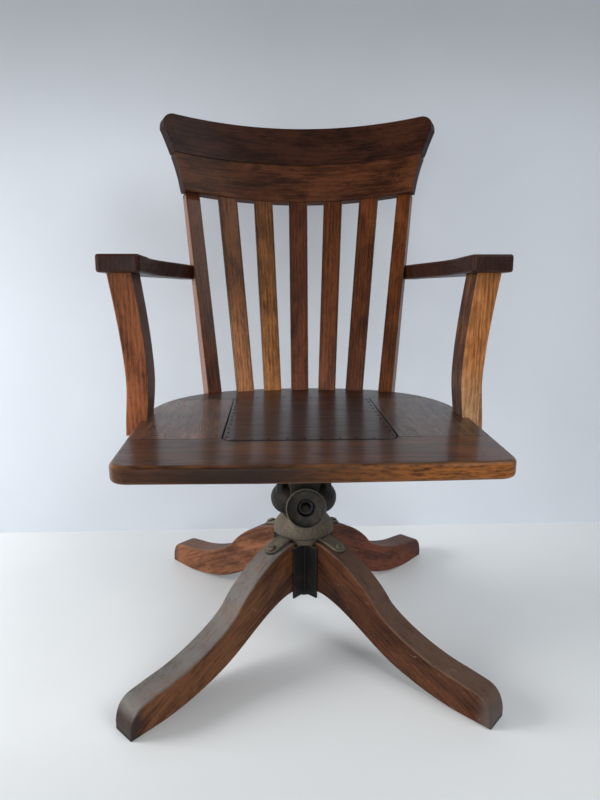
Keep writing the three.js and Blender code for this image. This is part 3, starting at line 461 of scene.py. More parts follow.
def dress(thing, node, material, stands_for=True, rides=True, flat=True):
    """Gives a piece its material and shading, and the body of the CAD node that it goes with."""
    thing.data.materials.clear()
    thing.data.materials.append(material)
    thing.data.shade_smooth()
    if rides:
        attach(thing, frame["nodes"][node]["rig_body"])
    if stands_for:
        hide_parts(node)
    if flat:
        modify(thing, "WEIGHTED_NORMAL", keep_sharp=True, weight=80)


def piece(node, ending, shape, material, grain=None, plan=None, flat=True):
    """A finished piece. grain gives each drawn vertex along, across and through the grain."""
    thing = solid(f"{node}_{ending}", shape)
    if plan is not None:
        remember(thing.data, "plan", plan)
    if grain is not None:
        remember(thing.data, "grain", grain)
        remember(thing.data, "wear", shape[2])
    dress(thing, node, material, flat=flat)


def casting(node, shapes, material, voxel=1.1, passes=2):
    """Overlapping skins fused and softened into one rough casting."""
    thing = solid(node + "_casting", joined(*shapes))
    modify(thing, "REMESH", mode="VOXEL", voxel_size=voxel * MM, adaptivity=0)
    modify(thing, "SMOOTH", factor=0.5, iterations=passes)
    settle(thing)
    dress(thing, node, material, flat=False)


# The camera stands where the photograph's lens stood

camera = add("camera", bpy.data.cameras.new("camera"))
camera.data.lens = 26.32
camera.data.sensor_width = 36
stand(camera, (-0.05067, -0.99482, 0.65188), (0.0426, 0.97674, -0.21015))
bpy.context.scene.camera = camera

# Materials. A colour is the three levels, 0 to 255, that it has on a screen


def srgb(levels):
    """A colour as the shader wants it."""
    share = [level / 255 for level in levels]
    return [s / 12.92 if s <= 0.04045 else ((s + 0.055) / 1.055) ** 2.4 for s in share] + [1]


def darker(colour, share):
    return tuple(level * share for level in colour)


class Value:
    """A node's output. Sums, products and the like add nodes to the same material."""

    def __init__(self, nodes, socket):
        self.n = nodes
        self.socket = socket

    def __add__(self, other):
        return self.n.math("ADD", self, other)

    def __radd__(self, other):
        return self.n.math("ADD", other, self)

    def __mul__(self, other):
        return self.n.math("MULTIPLY", self, other)

    def __abs__(self):
        return self.n.math("ABSOLUTE", self)

    def most(self, other):
        return self.n.math("MAXIMUM", self, other)

    def least(self, other):
        return self.n.math("MINIMUM", self, other)

    def part(self, axis):
        return self.n.out("SeparateXYZ", axis, Vector=self)

    def span(self, low, high, to_low=0.0, to_high=1.0):
        """Carries a range over to another one, smoothly, and holds it past both ends."""
        ranges = dict(From_Min=low, From_Max=high, To_Min=to_low, To_Max=to_high)
        return self.n.out("MapRange", 0, {"interpolation_type": "SMOOTHSTEP"}, Value=self, **ranges)

    def noise(self, scale, shift=0.0, detail=3.0, rough=0.55, distortion=0.0):
        """Noise over a place, by a scale for each axis or one for all three."""
        place = self.scaled(scale if isinstance(scale, tuple) else (scale, scale, scale), shift)
        values = dict(Scale=1.0, Detail=detail, Roughness=rough, Distortion=distortion)
        return self.n.out("TexNoise", 0, Vector=place, **values)

    def wave(self, distortion, **settings):
        values = dict(Scale=1.0, Distortion=distortion, Detail=3.0)
        return self.n.out("TexWave", 1, settings, Vector=self, **values)

    def scaled(self, scale, shift=0.0):
        return self.mapped(Scale=scale, Location=(shift, shift * 0.7, shift * 1.3))

    def mapped(self, **values):
        return self.n.out("Mapping", 0, Vector=self, **values)


class Nodes:
    """Writes one material's nodes."""

    def __init__(self, name):
        self.material = bpy.data.materials.new(name)
        self.material.use_nodes = True
        self.tree = self.material.node_tree
        self.shader = self.tree.nodes["Principled BSDF"]

    def put(self, socket, value):
        if isinstance(value, Value):
            self.tree.links.new(value.socket, socket)
        elif socket.type == "RGBA" and len(value) == 3:
            socket.default_value = srgb(value)
        else:
            socket.default_value = value

    def shade(self, **values):
        """Sets the shader's sockets."""
        for key, value in values.items():
            self.put(self.shader.inputs[key.replace("_", " ")], value)

    def out(self, kind, output, settings=(), *places, **values):
        """Adds a node, its sockets filled by their places or their names, and returns an output."""
        made = self.tree.nodes.new("ShaderNode" + kind)
        for key, value in dict(settings).items():
            setattr(made, key, value)
        for index, value in places:
            self.put(made.inputs[index], value)
        for key, value in values.items():
            self.put(made.inputs[key.replace("_", " ")], value)
        return Value(self, made.outputs[output])

    def math(self, operation, a, b=0.0):
        return self.out("Math", 0, {"operation": operation}, (0, a), (1, b))

    def mix(self, share, a, b, blend="MIX"):
        kind = {"data_type": "RGBA", "blend_type": blend}
        return self.out("Mix", 2, kind, (0, share), (6, a), (7, b))

    def attribute(self, name, output="Vector"):
        return self.out("Attribute", output, {"attribute_name": name})

    def geometry(self, output):
        return self.out("NewGeometry", output)

    def normal(self, axis):
        return self.geometry("Normal").part(axis)

    def bump(self, height, strength, distance):
        raised = self.out("Bump", "Normal", Height=height, Strength=strength, Distance=distance * MM)
        self.shade(Normal=raised)


WAVE_SPACING = 0.314  # of the bands that a wave texture draws at scale 1
PITH = (90, 60)
STAIN = (16, 8, 6)


def wood(name, dark, light, seed, ring=7.0, rings=0.3, streak=0.4, cloud=0.5, pore=0.4, figure=0.0,
         rim=0.0, stain=0.3, worn=(150, 112, 80), worn_share=0.5, dust=0.0, dust_colour=None, gloss=0.4,
         coat=0.05, coat_rough=0.22, shine=0.12, relief=0.35, facing_tone_and_light=None, extra=None):
    """Varnished oak: growth rings, streaks, pores, stains, worn edges and dust.

    The grain attribute runs in millimetres along, across and through the board. ring is the growth
    rings' spacing and rim half the board's width, where dirt darkens its edges. facing_tone_and_light
    is the axis, colour and share of the faces that look along it: painted light on the back posts'
    sides, painted shade on the arm posts' sides, a darker tone at the crest's ears. extra adds to the
    colour and returns it; some extras paint shade or sheen.
    """
    n = Nodes(name)
    grain = n.attribute("grain")

    def grained(along, across, step, *settings):
        """Noise drawn out along the grain, with its own step from the seed."""
        return grain.noise((along, across, across), seed * step, *settings)

    k = WAVE_SPACING / ring
    lines = dict(wave_type="RINGS", rings_direction="X", wave_profile="SIN")
    ringed = grain.mapped(Location=(seed * 31, *PITH)).scaled((k * 0.04, k, k)).wave(6.0, **lines)
    drift = grained(0.009, 0.022, 1, 5.0, 0.6, 0.5)
    streaks = grained(0.014, 0.26, 3, 6.0, 0.62, 0.3)
    fine = grained(0.045, 0.6, 5, 5.0, 0.7)
    crowd = grained(0.02, 0.11, 9).span(0.35, 0.6, 0.35, 1.0)
    pores = grained(0.16, 0.95, 7, 3.0, 0.6).span(0.54, 0.63) * crowd
    tone = (
        0.5 - 0.5 * (cloud + streak + rings + 0.5) + drift.span(0.32, 0.68) * cloud
        + streaks.span(0.32, 0.68) * streak + ringed * rings + fine.span(0.35, 0.65) * 0.5
    )
    colour = n.mix(tone.span(-0.15, 1.15), dark, light)
    colour = n.mix(pores * pore, colour, darker(dark, 0.3))
    if figure > 0:
        figured = fan(grain, seed)
        colour = n.mix(figured * figure, colour, darker(dark, 0.4))

    rubbed = grained(0.02, 0.09, 17, 5.0, 0.7)
    blots = grained(0.011, 0.026, 11, 6.0, 0.66, 0.8).span(0.5, 0.7) * stain
    stains = blots.most(grained(0.1, 0.13, 13, 3.0, 0.6).span(0.64, 0.72) * (stain * 1.1))
    if rim > 0:
        at_rim = abs(grain.part("Y")).span(rim - 7, rim)
        stains = stains.most(at_rim * rubbed.span(0.3, 0.6, 0.2, 0.7))
    colour = n.mix(stains, colour, STAIN)
    # Faces that look along the axis take another colour: painted light on the back posts' sides, painted
    # shade on the arm posts' sides, a darker tone at the crest's ears.
    if facing_tone_and_light is not None:
        axis, facing_colour, share = facing_tone_and_light
        looking = abs(n.normal(axis)).span(0.55, 0.8)
        colour = n.mix(looking * rubbed.span(0.2, 0.6, share * 0.6, share), colour, facing_colour)
    edge = n.attribute("wear", "Fac") * rubbed.span(0.36, 0.62)
    colour = n.mix(edge * worn_share, colour, worn)
    if extra is not None:
        colour = extra(n, colour)

    rough = gloss + streaks.span(0.3, 0.7) * 0.14 + stains * 0.1 + edge * 0.18
    if dust > 0:
        place = n.geometry("Position")
        film, specks = place.noise(34, seed, 6.0, 0.7), place.noise(700, seed, 3.0, 0.6)
        mottle = film * 0.7 + specks * 0.25 + grained(0.02, 0.35, 19, 5.0, 0.7) * 0.55
        scratches = grain.noise((0.03, 0.22, 0.6), seed * 23, 2.0, 0.5, 1.2)
        cover = mottle.span(0.5, 0.9, 0.5, 1.0) * scratches.span(0.62, 0.66, 1.0, 0.35)
        settled = n.normal("Z").span(0.25, 0.75) * cover * dust
        colour = n.mix(settled, colour, dust_colour)
        rough = rough + settled * 0.4
    height = streaks * 0.4 + fine * 0.3 + pores * -0.6 + edge * -0.3
    if figure > 0:
        height = height + figured * -0.9
    n.shade(Base_Color=colour, Roughness=rough, Specular_IOR_Level=shine)
    n.shade(Coat_Weight=coat, Coat_Roughness=coat_rough)
    n.bump(height, relief, 0.5)
    return n.material


def fan(grain, seed):
    """Fine dark lines that run with the grain and fan out, as on a board sawn through its rays."""
    swing = grain.noise((0.006, 0.008, 0.008), seed * 2, 2.0)
    along = grain.part("X")
    bent = grain.part("Y") + along * 0.22 + swing * 150
    place = grain.n.out("CombineXYZ", 0, X=bent * 0.085, Y=along * 0.02)
    lines = place.wave(1.2, wave_type="BANDS", bands_direction="X")
    broken = grain.noise((0.03, 0.12, 0.12), seed * 4, 4.0, 0.65).span(0.34, 0.54)
    return lines.span(0.3, 0.8) * broken


def groove_dirt_and_shade(n, colour):
    """Dirt and painted shade in the groove round the seat's panel and in the joints of the boards."""
    plan = n.attribute("plan")
    x, y = abs(plan.part("X")), plan.part("Y")
    half_x, half_y = PANEL.width / 2, (PANEL.ahead + PANEL.behind) / 2
    radius = PANEL.corner * 0.7
    out_x = x + (radius - half_x)
    out_y = abs(y + (half_y - PANEL.behind)) + (radius - half_y)
    past = n.out("CombineXYZ", 0, X=out_x.most(0.0), Y=out_y.most(0.0))
    length = n.out("VectorMath", "Value", {"operation": "LENGTH"}, (0, past))
    gap = abs(length + out_x.most(out_y).least(0.0) + -radius)
    gap = gap * y.span(-PANEL.ahead - 6, 12 - PANEL.ahead, 0.5, 1.0)
    waver = plan.noise(0.09, 0.0, 4.0, 0.65)
    groove = (gap + waver * -2.2).span(0.2, 1.8, 1.0, 0.0)
    joint = abs(y + SEAT.joint).least(abs(y + (PANEL.ledge - PANEL.behind))) + waver * -1.6
    joint = joint.span(0.0, 1.0, 0.85, 0.0) * x.span(half_x, half_x + 1)
    # Dirt and painted shade: the groove and the joints go near black.
    return n.mix(groove.most(joint), colour, (9, 6, 5))


def front_edge(n, colour):
    """The groove's dirt and painted shade, and the seat's front edge: golden where it is rubbed, darker
    to the left.
    """
    plan = n.attribute("plan")
    across = plan.part("X")
    facing = n.normal("Y").span(-0.9, -0.5, 1.0, 0.0)
    patches = plan.noise((0.05, 0.05, 0.35), 0.0, 6.0, 0.75).span(0.36, 0.6)
    golden = facing * patches * across.span(-160, 250, 0.05, 0.8)
    shaded = facing * across.span(-250, -130, 0.35, 0.85) * across.span(-80, 130, 1.0, 0.0)
    n.shade(Coat_Weight=facing.span(0.0, 1.0, 0.45, 0.05))
    colour = n.mix(golden, groove_dirt_and_shade(n, colour), (164, 100, 44))
    return n.mix(shaded, colour, (24, 11, 5))


def toe_scuff(scuff):
    """Scuffing towards the toe of a leg, and pale nicks along it."""

    def extra(n, colour):
        plan = n.attribute("plan")
        reached = plan.part("X") + plan.noise(0.05, 0.0, 5.0, 0.7) * 30
        near_toe = reached.span(LEG.reach - 12, LEG.reach + 14)
        nicks = plan.noise((0.07, 0.07, 0.2), scuff[0], 3.0, 0.6, 0.8).span(0.69, 0.72)
        return n.mix(nicks * 0.45, n.mix(near_toe * 0.85, colour, scuff), (150, 132, 116))

    return extra


def painted_low_sheen(gain, low=40, high=240):
    """A painted sheen: lifts the tone towards a stick's lower end, by a gain in red, green and blue."""

    def extra(n, colour):
        share = n.attribute("plan").part("Z").span(low, high, 1.0, 0.0)
        return n.mix(share, colour, (*gain, 1), "MULTIPLY")

    return extra


def by_height(low, high, at_low, at_high, tint):
    """A tint whose share changes between two heights above the floor."""

    def extra(n, colour):
        height = n.geometry("Position").part("Z")
        return n.mix(height.span(low * MM, high * MM, at_low, at_high), colour, tint)

    return extra


def recess_shade_rim_highlight(n, colour):
    """Painted shade, black, in the wheel's recess; on its rim a bright band, partly rubbed and partly a
    painted highlight.
    """
    plan = n.attribute("plan")
    x, y = plan.part("X"), plan.part("Y")
    radius = n.math("POWER", x * x + y * y, 0.5)
    patches = plan.noise(0.06, 0.0, 5.0, 0.7).span(0.42, 0.66)
    colour = n.mix(patches * 0.7, colour, (62, 54, 38))
    # Painted shade: the recess goes black towards the bore.
    colour = n.mix(radius.span(KNOB.recess - 1, KNOB.recess + 5, 0.95, 0.0), colour, (5, 5, 5))
    # The rim's bright band: rubbed, and partly a painted highlight.
    return n.mix(radius.span(KNOB.radius - 3.2, KNOB.radius - 1.2, 0.0, 0.6), colour, (96, 90, 82))


def iron(name, colour, light, dust_colour, dust, seed, rough=0.55, rust=0.35, relief=0.6, extra=None):
    """Cast or forged iron: a granular skin, rubbed highs, rust in patches and dust on what looks up."""
    metal = 0.35
    n = Nodes(name)
    place = n.geometry("Position")
    grit, broad = place.noise(420, seed, 5.0, 0.65), place.noise(38, seed, 5.0, 0.6)
    pits = place.noise(900, seed, 3.0, 0.6).span(0.6, 0.7)
    base = n.mix(grit.span(0.36, 0.64), colour, light)
    base = n.mix(broad.span(0.5, 0.7) * rust, base, (74, 52, 36))
    base = n.mix(pits * 0.5, base, darker(colour, 0.45))
    if extra is not None:
        base = extra(n, base)
    cover = (broad * 0.5 + grit * 0.6).span(0.4, 0.66)
    settled = n.normal("Z").span(0.05, 0.8) * cover * dust
    base = n.mix(settled, base, dust_colour)
    n.shade(Base_Color=base, Roughness=rough + grit * 0.2 + settled * 0.25)
    n.shade(Metallic=metal + settled * -metal)
    n.bump(grit + pits * -0.6 + broad * 0.5, relief, 0.35)
    return n.material


def bright(name, colour, seed, rough=0.42):
    """Dull machined steel: fine turning marks, tarnish and specks of rust."""
    n = Nodes(name)
    place = n.geometry("Position")
    marks, tarnish = place.noise((260, 260, 2600), seed, 3.0, 0.6), place.noise(90, seed, 5.0, 0.62)
    specks = place.noise(700, seed, 3.0, 0.6).span(0.58, 0.68)
    base = n.mix(tarnish.span(0.35, 0.7), colour, darker(colour, 0.62))
    base = n.mix(specks * 0.4, base, (82, 54, 36))
    n.shade(Base_Color=base, Roughness=rough + tarnish * 0.22 + marks * 0.12, Metallic=0.85)
    n.bump(marks + specks * 0.6, 0.3, 0.12)
    return n.material


def matt(name, colour, rough, seed):
    """A matt surface with a faint drift in its tone, and painted shade that darkens it from 0.85 m to
    1.25 m up; seen from behind it is clear.
    """
    n = Nodes(name)
    place = n.geometry("Position")
    drifting = n.mix(place.noise(1.3, seed, 4.0).span(0.3, 0.7), colour, darker(colour, 0.965))
    # Painted shade: the sheet darkens towards black from 0.85 m up to 1.25 m.
    shade = place.part("Z").span(0.85, 1.25, 0.0, 0.3)
    n.shade(Base_Color=n.mix(shade, drifting, (0, 0, 0)), Roughness=rough)
    n.bump(place.noise(140, seed, 4.0), 0.15, 0.6)
    clear, front = n.out("BsdfTransparent", 0), Value(n, n.shader.outputs[0])
    behind = n.geometry("Backfacing")
    seen = n.out("MixShader", 0, (), (0, behind), (1, front), (2, clear))
    n.put(n.tree.nodes["Material Output"].inputs["Surface"], seen)
    return n.material


# Legs


def leg_points(*shares):
    """Places on a leg's outline, as shares of its reach and of its shoulder's height."""
    notch = HUB.flange + CLEARANCE
    return [(notch + (LEG.reach - notch) * out, SHOULDER * up) for out, up in shares]


CROWN = leg_points((0, 1), (0.155, 0.978), (0.338, 0.731), (0.395, 0.586))
INSTEP = leg_points((0.459, 0.473), (0.647, 0.316), (0.821, 0.287))
TOE = leg_points((0.913, 0.262), (0.99, 0.245), (1, 0.07))
HEEL = leg_points((0.864, 0))[0]
ARCH = leg_points((0.734, 0), (0.546, 0.081), (0.445, 0.167))
BELLY = leg_points((0.329, 0.263), (0.17, 0.473), (0.031, 0.489))

# Dark and light tone, seed, dust, its colour, and the scuffed toe's colour
LEG_LOOKS = {
    "rear_right": ((56, 26, 16), (116, 63, 42), 1.3, 0.6, (96, 84, 76), (48, 42, 38)),
    "rear_left": ((68, 39, 25), (130, 84, 57), 4.1, 0.65, (96, 88, 82), (52, 46, 42)),
    "front_left": ((51, 29, 19), (117, 76, 49), 2.2, 0.95, (111, 108, 105), (38, 36, 36)),
    "front_right": ((39, 20, 12), (86, 51, 32), 3.7, 0.75, (104, 84, 72), (84, 74, 69)),
}


def leg_outline():
    inner, notch = HUB.sleeve + CLEARANCE, HUB.flange + CLEARANCE
    ledge = FLANGE_BOTTOM - CLEARANCE
    return path(
        (inner, BELLY[-1][1]), (inner, ledge), (notch, ledge), CROWN[0], [24, *CROWN[1:]],
        [24, *INSTEP], TOE[0], [8, *TOE[1:]], (LEG.reach, 0), HEEL, [24, *ARCH], [24, *BELLY],
    )[:-1]


def crown_at(distance):
    """Height and slope of the leg's crown at a distance from the spindle."""
    curve = path(CROWN[0], [200, *CROWN[1:]])
    height = np.interp(distance, curve[:, 0], curve[:, 1])
    ahead = np.interp(distance + 0.5, curve[:, 0], curve[:, 1])
    return height, math.degrees(math.atan2(ahead - height, 0.5))


def build_legs():
    shape = moved(slab(leg_outline(), LEG.thickness, LEG.edge), UPRIGHT)
    fall = np.array(turn("Y", LEG.grain))[:3, :3]
    for i, (name, spin) in enumerate(LEGS):
        dark, light, seed, dust, dust_colour, scuff = LEG_LOOKS[name]
        material = wood(
            "leg_" + name, dark, light, seed, ring=9, rings=0.15, cloud=0.8, pore=0.3, gloss=0.42,
            dust=dust, dust_colour=dust_colour, worn=(110, 72, 48), relief=0.5, extra=toe_scuff(scuff),
        )
        grain = (shape[0] @ fall.T + [i * SHIFT.leg, 0, 0])[:, [0, 2, 1]]
        piece("leg_" + name, "wood", moved(shape, spin), material, grain, shape[0])


# Hub, straps and screws


def strap():
    """One strap, bent along the crown of a leg, with a rounded end."""
    radius = TONGUE.width / 2
    rings = []
    for x in np.linspace(HUB.flange - HUB.thickness, TONGUE.length - 0.05, 60):
        out = max(0.0, x - (TONGUE.length - radius))
        half = math.sqrt(max(radius**2 - out**2, 0.01))
        crown = SHOULDER if x < HUB.flange else crown_at(x)[0]
        z = crown + CLEARANCE + TONGUE.thickness / 2
        section = eased(2 * half, TONGUE.thickness, min(1.0, half / 2.5))
        rings.append([(x, u, z + v) for u, v, _ in section])
    return skin(rings)


def build_hub(material):
    cheek_in = LEG.thickness / 2 + CLEARANCE
    cheek_out = cheek_in + HUB.cheek
    bore = SPINDLE.radius + CLEARANCE
    sleeve = ring_profile(bore, HUB.sleeve, SLEEVE_BOTTOM, FLANGE_TOP - OVERRUN, HUB.sleeve_edge)
    flange = ring_profile(bore, HUB.flange, FLANGE_BOTTOM, FLANGE_TOP, HUB.edge)
    shapes = [turned(sleeve, closed=True), turned(flange, closed=True)]
    for _, spin in LEGS:
        for low, high in [(-cheek_out, -cheek_in), (cheek_in, cheek_out)]:
            far = HUB.cheek_reach, high, FLANGE_BOTTOM + OVERRUN
            cheek = block((cheek_in, low, HUB.cheek_low), far)
            shapes.append(moved(cheek, spin))
        shapes.append(moved(strap(), spin))
    casting("hub", shapes, material)


def build_screw(node, size, place, material):
    """A slotted round-head screw with the underside of its head at Z = 0 of its place."""
    slot_width, slot_depth, brim = 1.4, 0.45, 0.35
    dome = [
        (size.head * math.cos(t), size.height * (brim + (1 - brim) * math.sin(t)))
        for t in np.linspace(0.12, math.pi / 2, 14)[:-1]
    ]
    body = turned([
        (0, -size.length), (size.shank, size.shank - size.length), (size.shank, 0), (size.head, 0),
        (size.head, brim * size.height), *dome, (0, size.height),
    ], 48)
    reach, half, above = size.head + OVERRUN, slot_width / 2, size.height + OVERRUN
    groove = block((-reach, -half, size.height * (1 - slot_depth)), (reach, half, above))
    thing = solid(node + "_head", moved(body, place))
    cut_by(thing, moved(groove, place), "DIFFERENCE")
    dress(thing, node, material)


def build_hub_screws(material):
    height, slope = crown_at(TONGUE.screw_at)
    lift = 2 * CLEARANCE + TONGUE.thickness
    for i, (name, spin) in enumerate(LEGS):
        place = spin @ move(TONGUE.screw_at, 0, height) @ turn("Y", -slope) @ move(z=lift)
        slot_turn = turn("Z", 25 + 37 * i)
        build_screw("hub_screw_" + name, LAG, place @ slot_turn, material)


# Height screw


def build_washer(material):
    outer = box("thrust_washer")[1, 0]
    profile = ring_profile(SPINDLE.radius + CLEARANCE, outer, WASHER_LOW, WASHER_HIGH, WASHER_EDGE)
    piece("thrust_washer", "ring", turned(profile, closed=True), material)


def build_bell(material):
    low, roof = WASHER_HIGH + CLEARANCE, BELL_TOP - 2 * BELL.wall
    bore, inside = SPINDLE.radius + CLEARANCE, BELL.rim - BELL.wall
    brim = BELL_RIM + BELL.wall
    hollow = rounded_profile([
        (bore, low), (BELL.boss, low), (BELL.boss, roof), (BELL.top, roof), (inside, brim),
        (inside, BELL_RIM),
    ], BELL.edge)
    lip = arc((BELL.rim - BELL.lip, BELL_RIM + BELL.lip), BELL.lip, -90, 0, 6)
    outside = path((BELL.rim, brim), [
        20, (BELL.rim, BELL_RIM + 0.5 * (BELL_TOP - BELL_RIM)), (BELL.shoulder, BELL_TOP - BELL.wall),
        (BELL.top, BELL_TOP),
    ])[:-1]
    crown = [(BELL.top - BELL.top_edge, BELL_TOP), (bore, BELL_TOP)]
    profile = np.vstack([hollow, lip, outside, crown])
    piece("bell_nut", "casting", turned(profile, 128, closed=True), material)


def build_spindle(material):
    low, high = box("spindle")[:, 2]
    shape = threaded(SPINDLE.radius, SPINDLE.root, SPINDLE.pitch, low, high, SPINDLE.chamfer)
    piece("spindle", "thread", shape, material, flat=False)


# Tilt yoke and pivot


def eye(radius, rise, depth, thickness, edge):
    """A plate from a straight foot up to a round eye with the pivot's hole in it."""
    outline = path((-depth / 2, 0), (depth / 2, 0), arc((0, rise), radius, 0, 180, 32))
    return slab(keyhole(outline, (0, rise), BOLT.radius + CLEARANCE), thickness, edge)


def build_yoke(material):
    r, half = YOKE.barrel, YOKE.length / 2
    dome = [(r * math.sin(t), half - r + r * math.cos(t)) for t in np.linspace(0, math.pi / 2, 24)]
    barrel = turned([*dome, *[(x, -z) for x, z in reversed(dome)]])
    boss = turned(ring_profile(0, YOKE.boss, YOKE_BOTTOM, BARREL, YOKE.boss_edge))
    arm = eye(YOKE.depth / 2, PIVOT - BARREL, YOKE.depth, YOKE.arm, YOKE.edge)
    shapes = [moved(barrel, move(z=BARREL) @ turn("Y", 90)), boss]
    for side in SIDES.values():
        x = side * (YOKE.outside - YOKE.arm) / 2
        shapes.append(moved(arm, move(x, 0, BARREL) @ turn("Z", 90) @ UPRIGHT))
    casting("tilt_yoke", shapes, material, passes=5)


def build_pivot(material):
    outside = YOKE.outside / 2 + CLEARANCE
    thick, bore, flat = BOLT.head_thickness, BOLT.radius + CLEARANCE, BOLT.nut_across / 2 - 0.5
    place = move(z=PIVOT) @ turn("Y", 90)
    head = turned(ring_profile(0, BOLT.head, -outside - thick, -outside, BOLT.head_edge), 64)
    inside, end = outside - OVERRUN, outside + 2 * thick
    stem = turned(ring_profile(0, BOLT.radius, -inside, outside, BOLT.edge))
    root = BOLT.radius - BOLT.groove
    thread = threaded(BOLT.radius, root, BOLT.pitch, inside, end, BOLT.chamfer, square=False)
    piece("pivot_bolt", "turned", moved(joined(head, stem, thread), place), material)
    cone, rise = BOLT.nut_cone, BOLT.nut_rise  # a wide cone that chamfers the nut's corners
    nut = turned([
        (bore, outside), (flat, outside), (cone, outside + rise), (cone, outside + thick - rise),
        (flat, outside + thick), (bore, outside + thick),
    ], 64, closed=True)
    thing = solid("pivot_nut_hexagon", moved(nut, place))
    angles = np.radians(np.arange(0, 360, 60))
    corner = BOLT.nut_across / math.sqrt(3)
    prism = skin([level_ring(corner, angles, z) for z in (outside - thick, outside + 2 * thick + 2)])
    cut_by(thing, moved(prism, place), "INTERSECT")
    dress(thing, "pivot_nut", material)


# Tension gear along the rod


def build_rod(material):
    thread_start = PLATE_START - ROD.thread_back
    shank = turned(ring_profile(0, ROD.shank, ROD_START, thread_start, ROD.edge), 48)
    root, start = ROD.radius - ROD.groove, thread_start - OVERRUN
    thread = threaded(ROD.radius, root, ROD.pitch, start, ROD_END, ROD.chamfer, square=False)
    shape = moved(joined(shank, thread), ROD_PLACE)
    piece("tension_rod", "turned", shape, material, flat=False)


def spring_part(first, last):
    """The wire between two counts of curls; at the spring's own ends it runs on straight a little."""
    per_curl, sides, run_on, curls = 40, 14, 4, SPRING.curls
    radius, climb = SPRING.wire / 2, SPRING.length - SPRING.wire
    around = np.linspace(0, 2 * math.pi, sides, endpoint=False)
    start = int(first * per_curl) - (run_on if first == 0 else 0)
    stop = int(last * per_curl) + (run_on if last == curls else 0)
    rings = []
    for i in range(start, stop + 1):
        turns = min(max(i / per_curl, 0), curls)
        angle = 2 * math.pi * turns
        out, up = np.array([math.cos(angle), math.sin(angle), 0]), np.array([0, 0, 1.0])
        along = (i - turns * per_curl) * SPRING.wire / 4
        centre = SPRING.radius * out + [0, along, SPRING_START + radius + climb * turns / curls]
        thin = radius * (1.0 if along == 0 else 0.96)
        rings.append([centre + thin * (math.cos(t) * out + math.sin(t) * up) for t in around])
    return moved(skin(rings), ROD_PLACE)


def build_spring(material):
    """Cut on the coil's top side into a rear part that rides with the spring's body and a front part.
    On the chair, the tilt squashes the rear part and the wheel's plate the front one.
    """
    rear = solid("tilt_spring_rear_wire", spring_part(0, SPRING.cut))
    front = solid("tilt_spring_front_wire", spring_part(SPRING.cut, SPRING.curls))
    for part in (rear, front):
        dress(part, "tilt_spring", material, rides=part is rear, flat=False)
        part.data.set_sharp_from_angle(angle=SHARP)
    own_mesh(rear)
    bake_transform(front)


def build_plate(material):
    end = PLATE_START + PLATE.thickness
    profile = ring_profile(ROD.radius + CLEARANCE, PLATE.radius, PLATE_START, end, PLATE.edge)
    piece("spring_plate", "disc", moved(turned(profile, closed=True), ROD_PLACE), material)


def build_knob(material):
    bore, front, bead, recess = ROD.radius + CLEARANCE, KNOB_START + KNOB.length, KNOB.bead, KNOB.recess
    radius, floor = KNOB.radius, front - KNOB.dish
    well_floor = floor - KNOB.recess_depth

    def at_rim(inwards, back):
        """A place in from the wheel's edge and back from its front, both in beads."""
        return radius - inwards * bead, front - back * bead

    back = rounded_profile([
        (bore, KNOB_START), (KNOB.hub, KNOB_START), (KNOB.hub + bead, KNOB_START + bead),
        (radius - 2 * bead, floor - bead), at_rim(0.6, 1.2),
    ], KNOB.back_edge)
    rim = arc(at_rim(0.5, 0.5), bead / 2, -70, 160, 16)
    swell = radius - 2.4 * bead, front - KNOB.dish * 0.75
    dish = bezier([at_rim(1.1, 0.55), swell, (recess + 3, floor)], 12)
    well = rounded_profile([
        (recess + 2.6, floor), (recess, floor - 0.3), (recess - bead / 2, well_floor),
        (bore, well_floor),
    ], KNOB.recess_edge)
    shape = turned(np.vstack([back, rim, dish, well]), 128, closed=True)
    placed = moved(shape, ROD_PLACE)
    piece("tension_knob", "recess_shade_rim_highlight", placed, material, plan=shape[0])


# Seat bracket. Each arm has a side, a start and a screw's centre along Y

BRACKET_ARMS = [
    (side, start, end)
    for side in SIDES.values()
    for start, end in [(-BRACKET.plate / 2, -BRACKET.front), (BRACKET.plate / 2, BRACKET.rear)]
]


def bracket_arm(side, start, end):
    """An arm that narrows from the plate to a round tip, and the rib below it."""
    way = math.copysign(1, end)
    root = side * (BRACKET.width - BRACKET.arm_root) / 2
    inner, half = start - way * BRACKET.arm_root, BRACKET.arm_root / 2
    tip = arc((side * BRACKET.spread, end), BRACKET.arm_tip / 2, 0, 180 * way, 24)
    outline = path((root - half, inner), (root + half, inner), tip)
    high = BRACKET_TOP - BRACKET.arm / 2
    arm = moved(slab(outline, BRACKET.arm, BRACKET.edge), move(z=high))

    stop = end - way * BRACKET.arm_tip
    foot, back = high - BRACKET.arm / 2, start - way * BRACKET.rib_overlap
    tip_x = root + (side * BRACKET.spread - root) * (stop - start) / (end - start)
    h = BRACKET.rib / 2
    rib = skin([
        [(x - h, y, high), (x + h, y, high), (x + h, y, bottom), (x - h, y, bottom)]
        for x, y, bottom in [(root, back, foot - BRACKET.rib_depth), (tip_x, stop, foot)]
    ])
    return [arm, rib]


def fork_outline():
    """The web over the rod, from its forked foot up into the bracket's plate."""
    half, fork, below = BRACKET.width / 2, BRACKET.fork_width / 2, BRACKET.fork_below
    slot, shoulder = ROD.radius + 2 * CLEARANCE, PIVOT - BARREL
    rise = (BRACKET_TOP - BARREL) / math.cos(math.radians(ROD.tilt)) - BRACKET.web_inset
    return path(
        (-fork, -below), (-slot, -below), arc((0, 0), slot, 180, 0, 24), (slot, -below), (fork, -below),
        (fork, below), (half, shoulder), (half, rise), (-half, rise), (-half, shoulder), (-fork, below),
    )


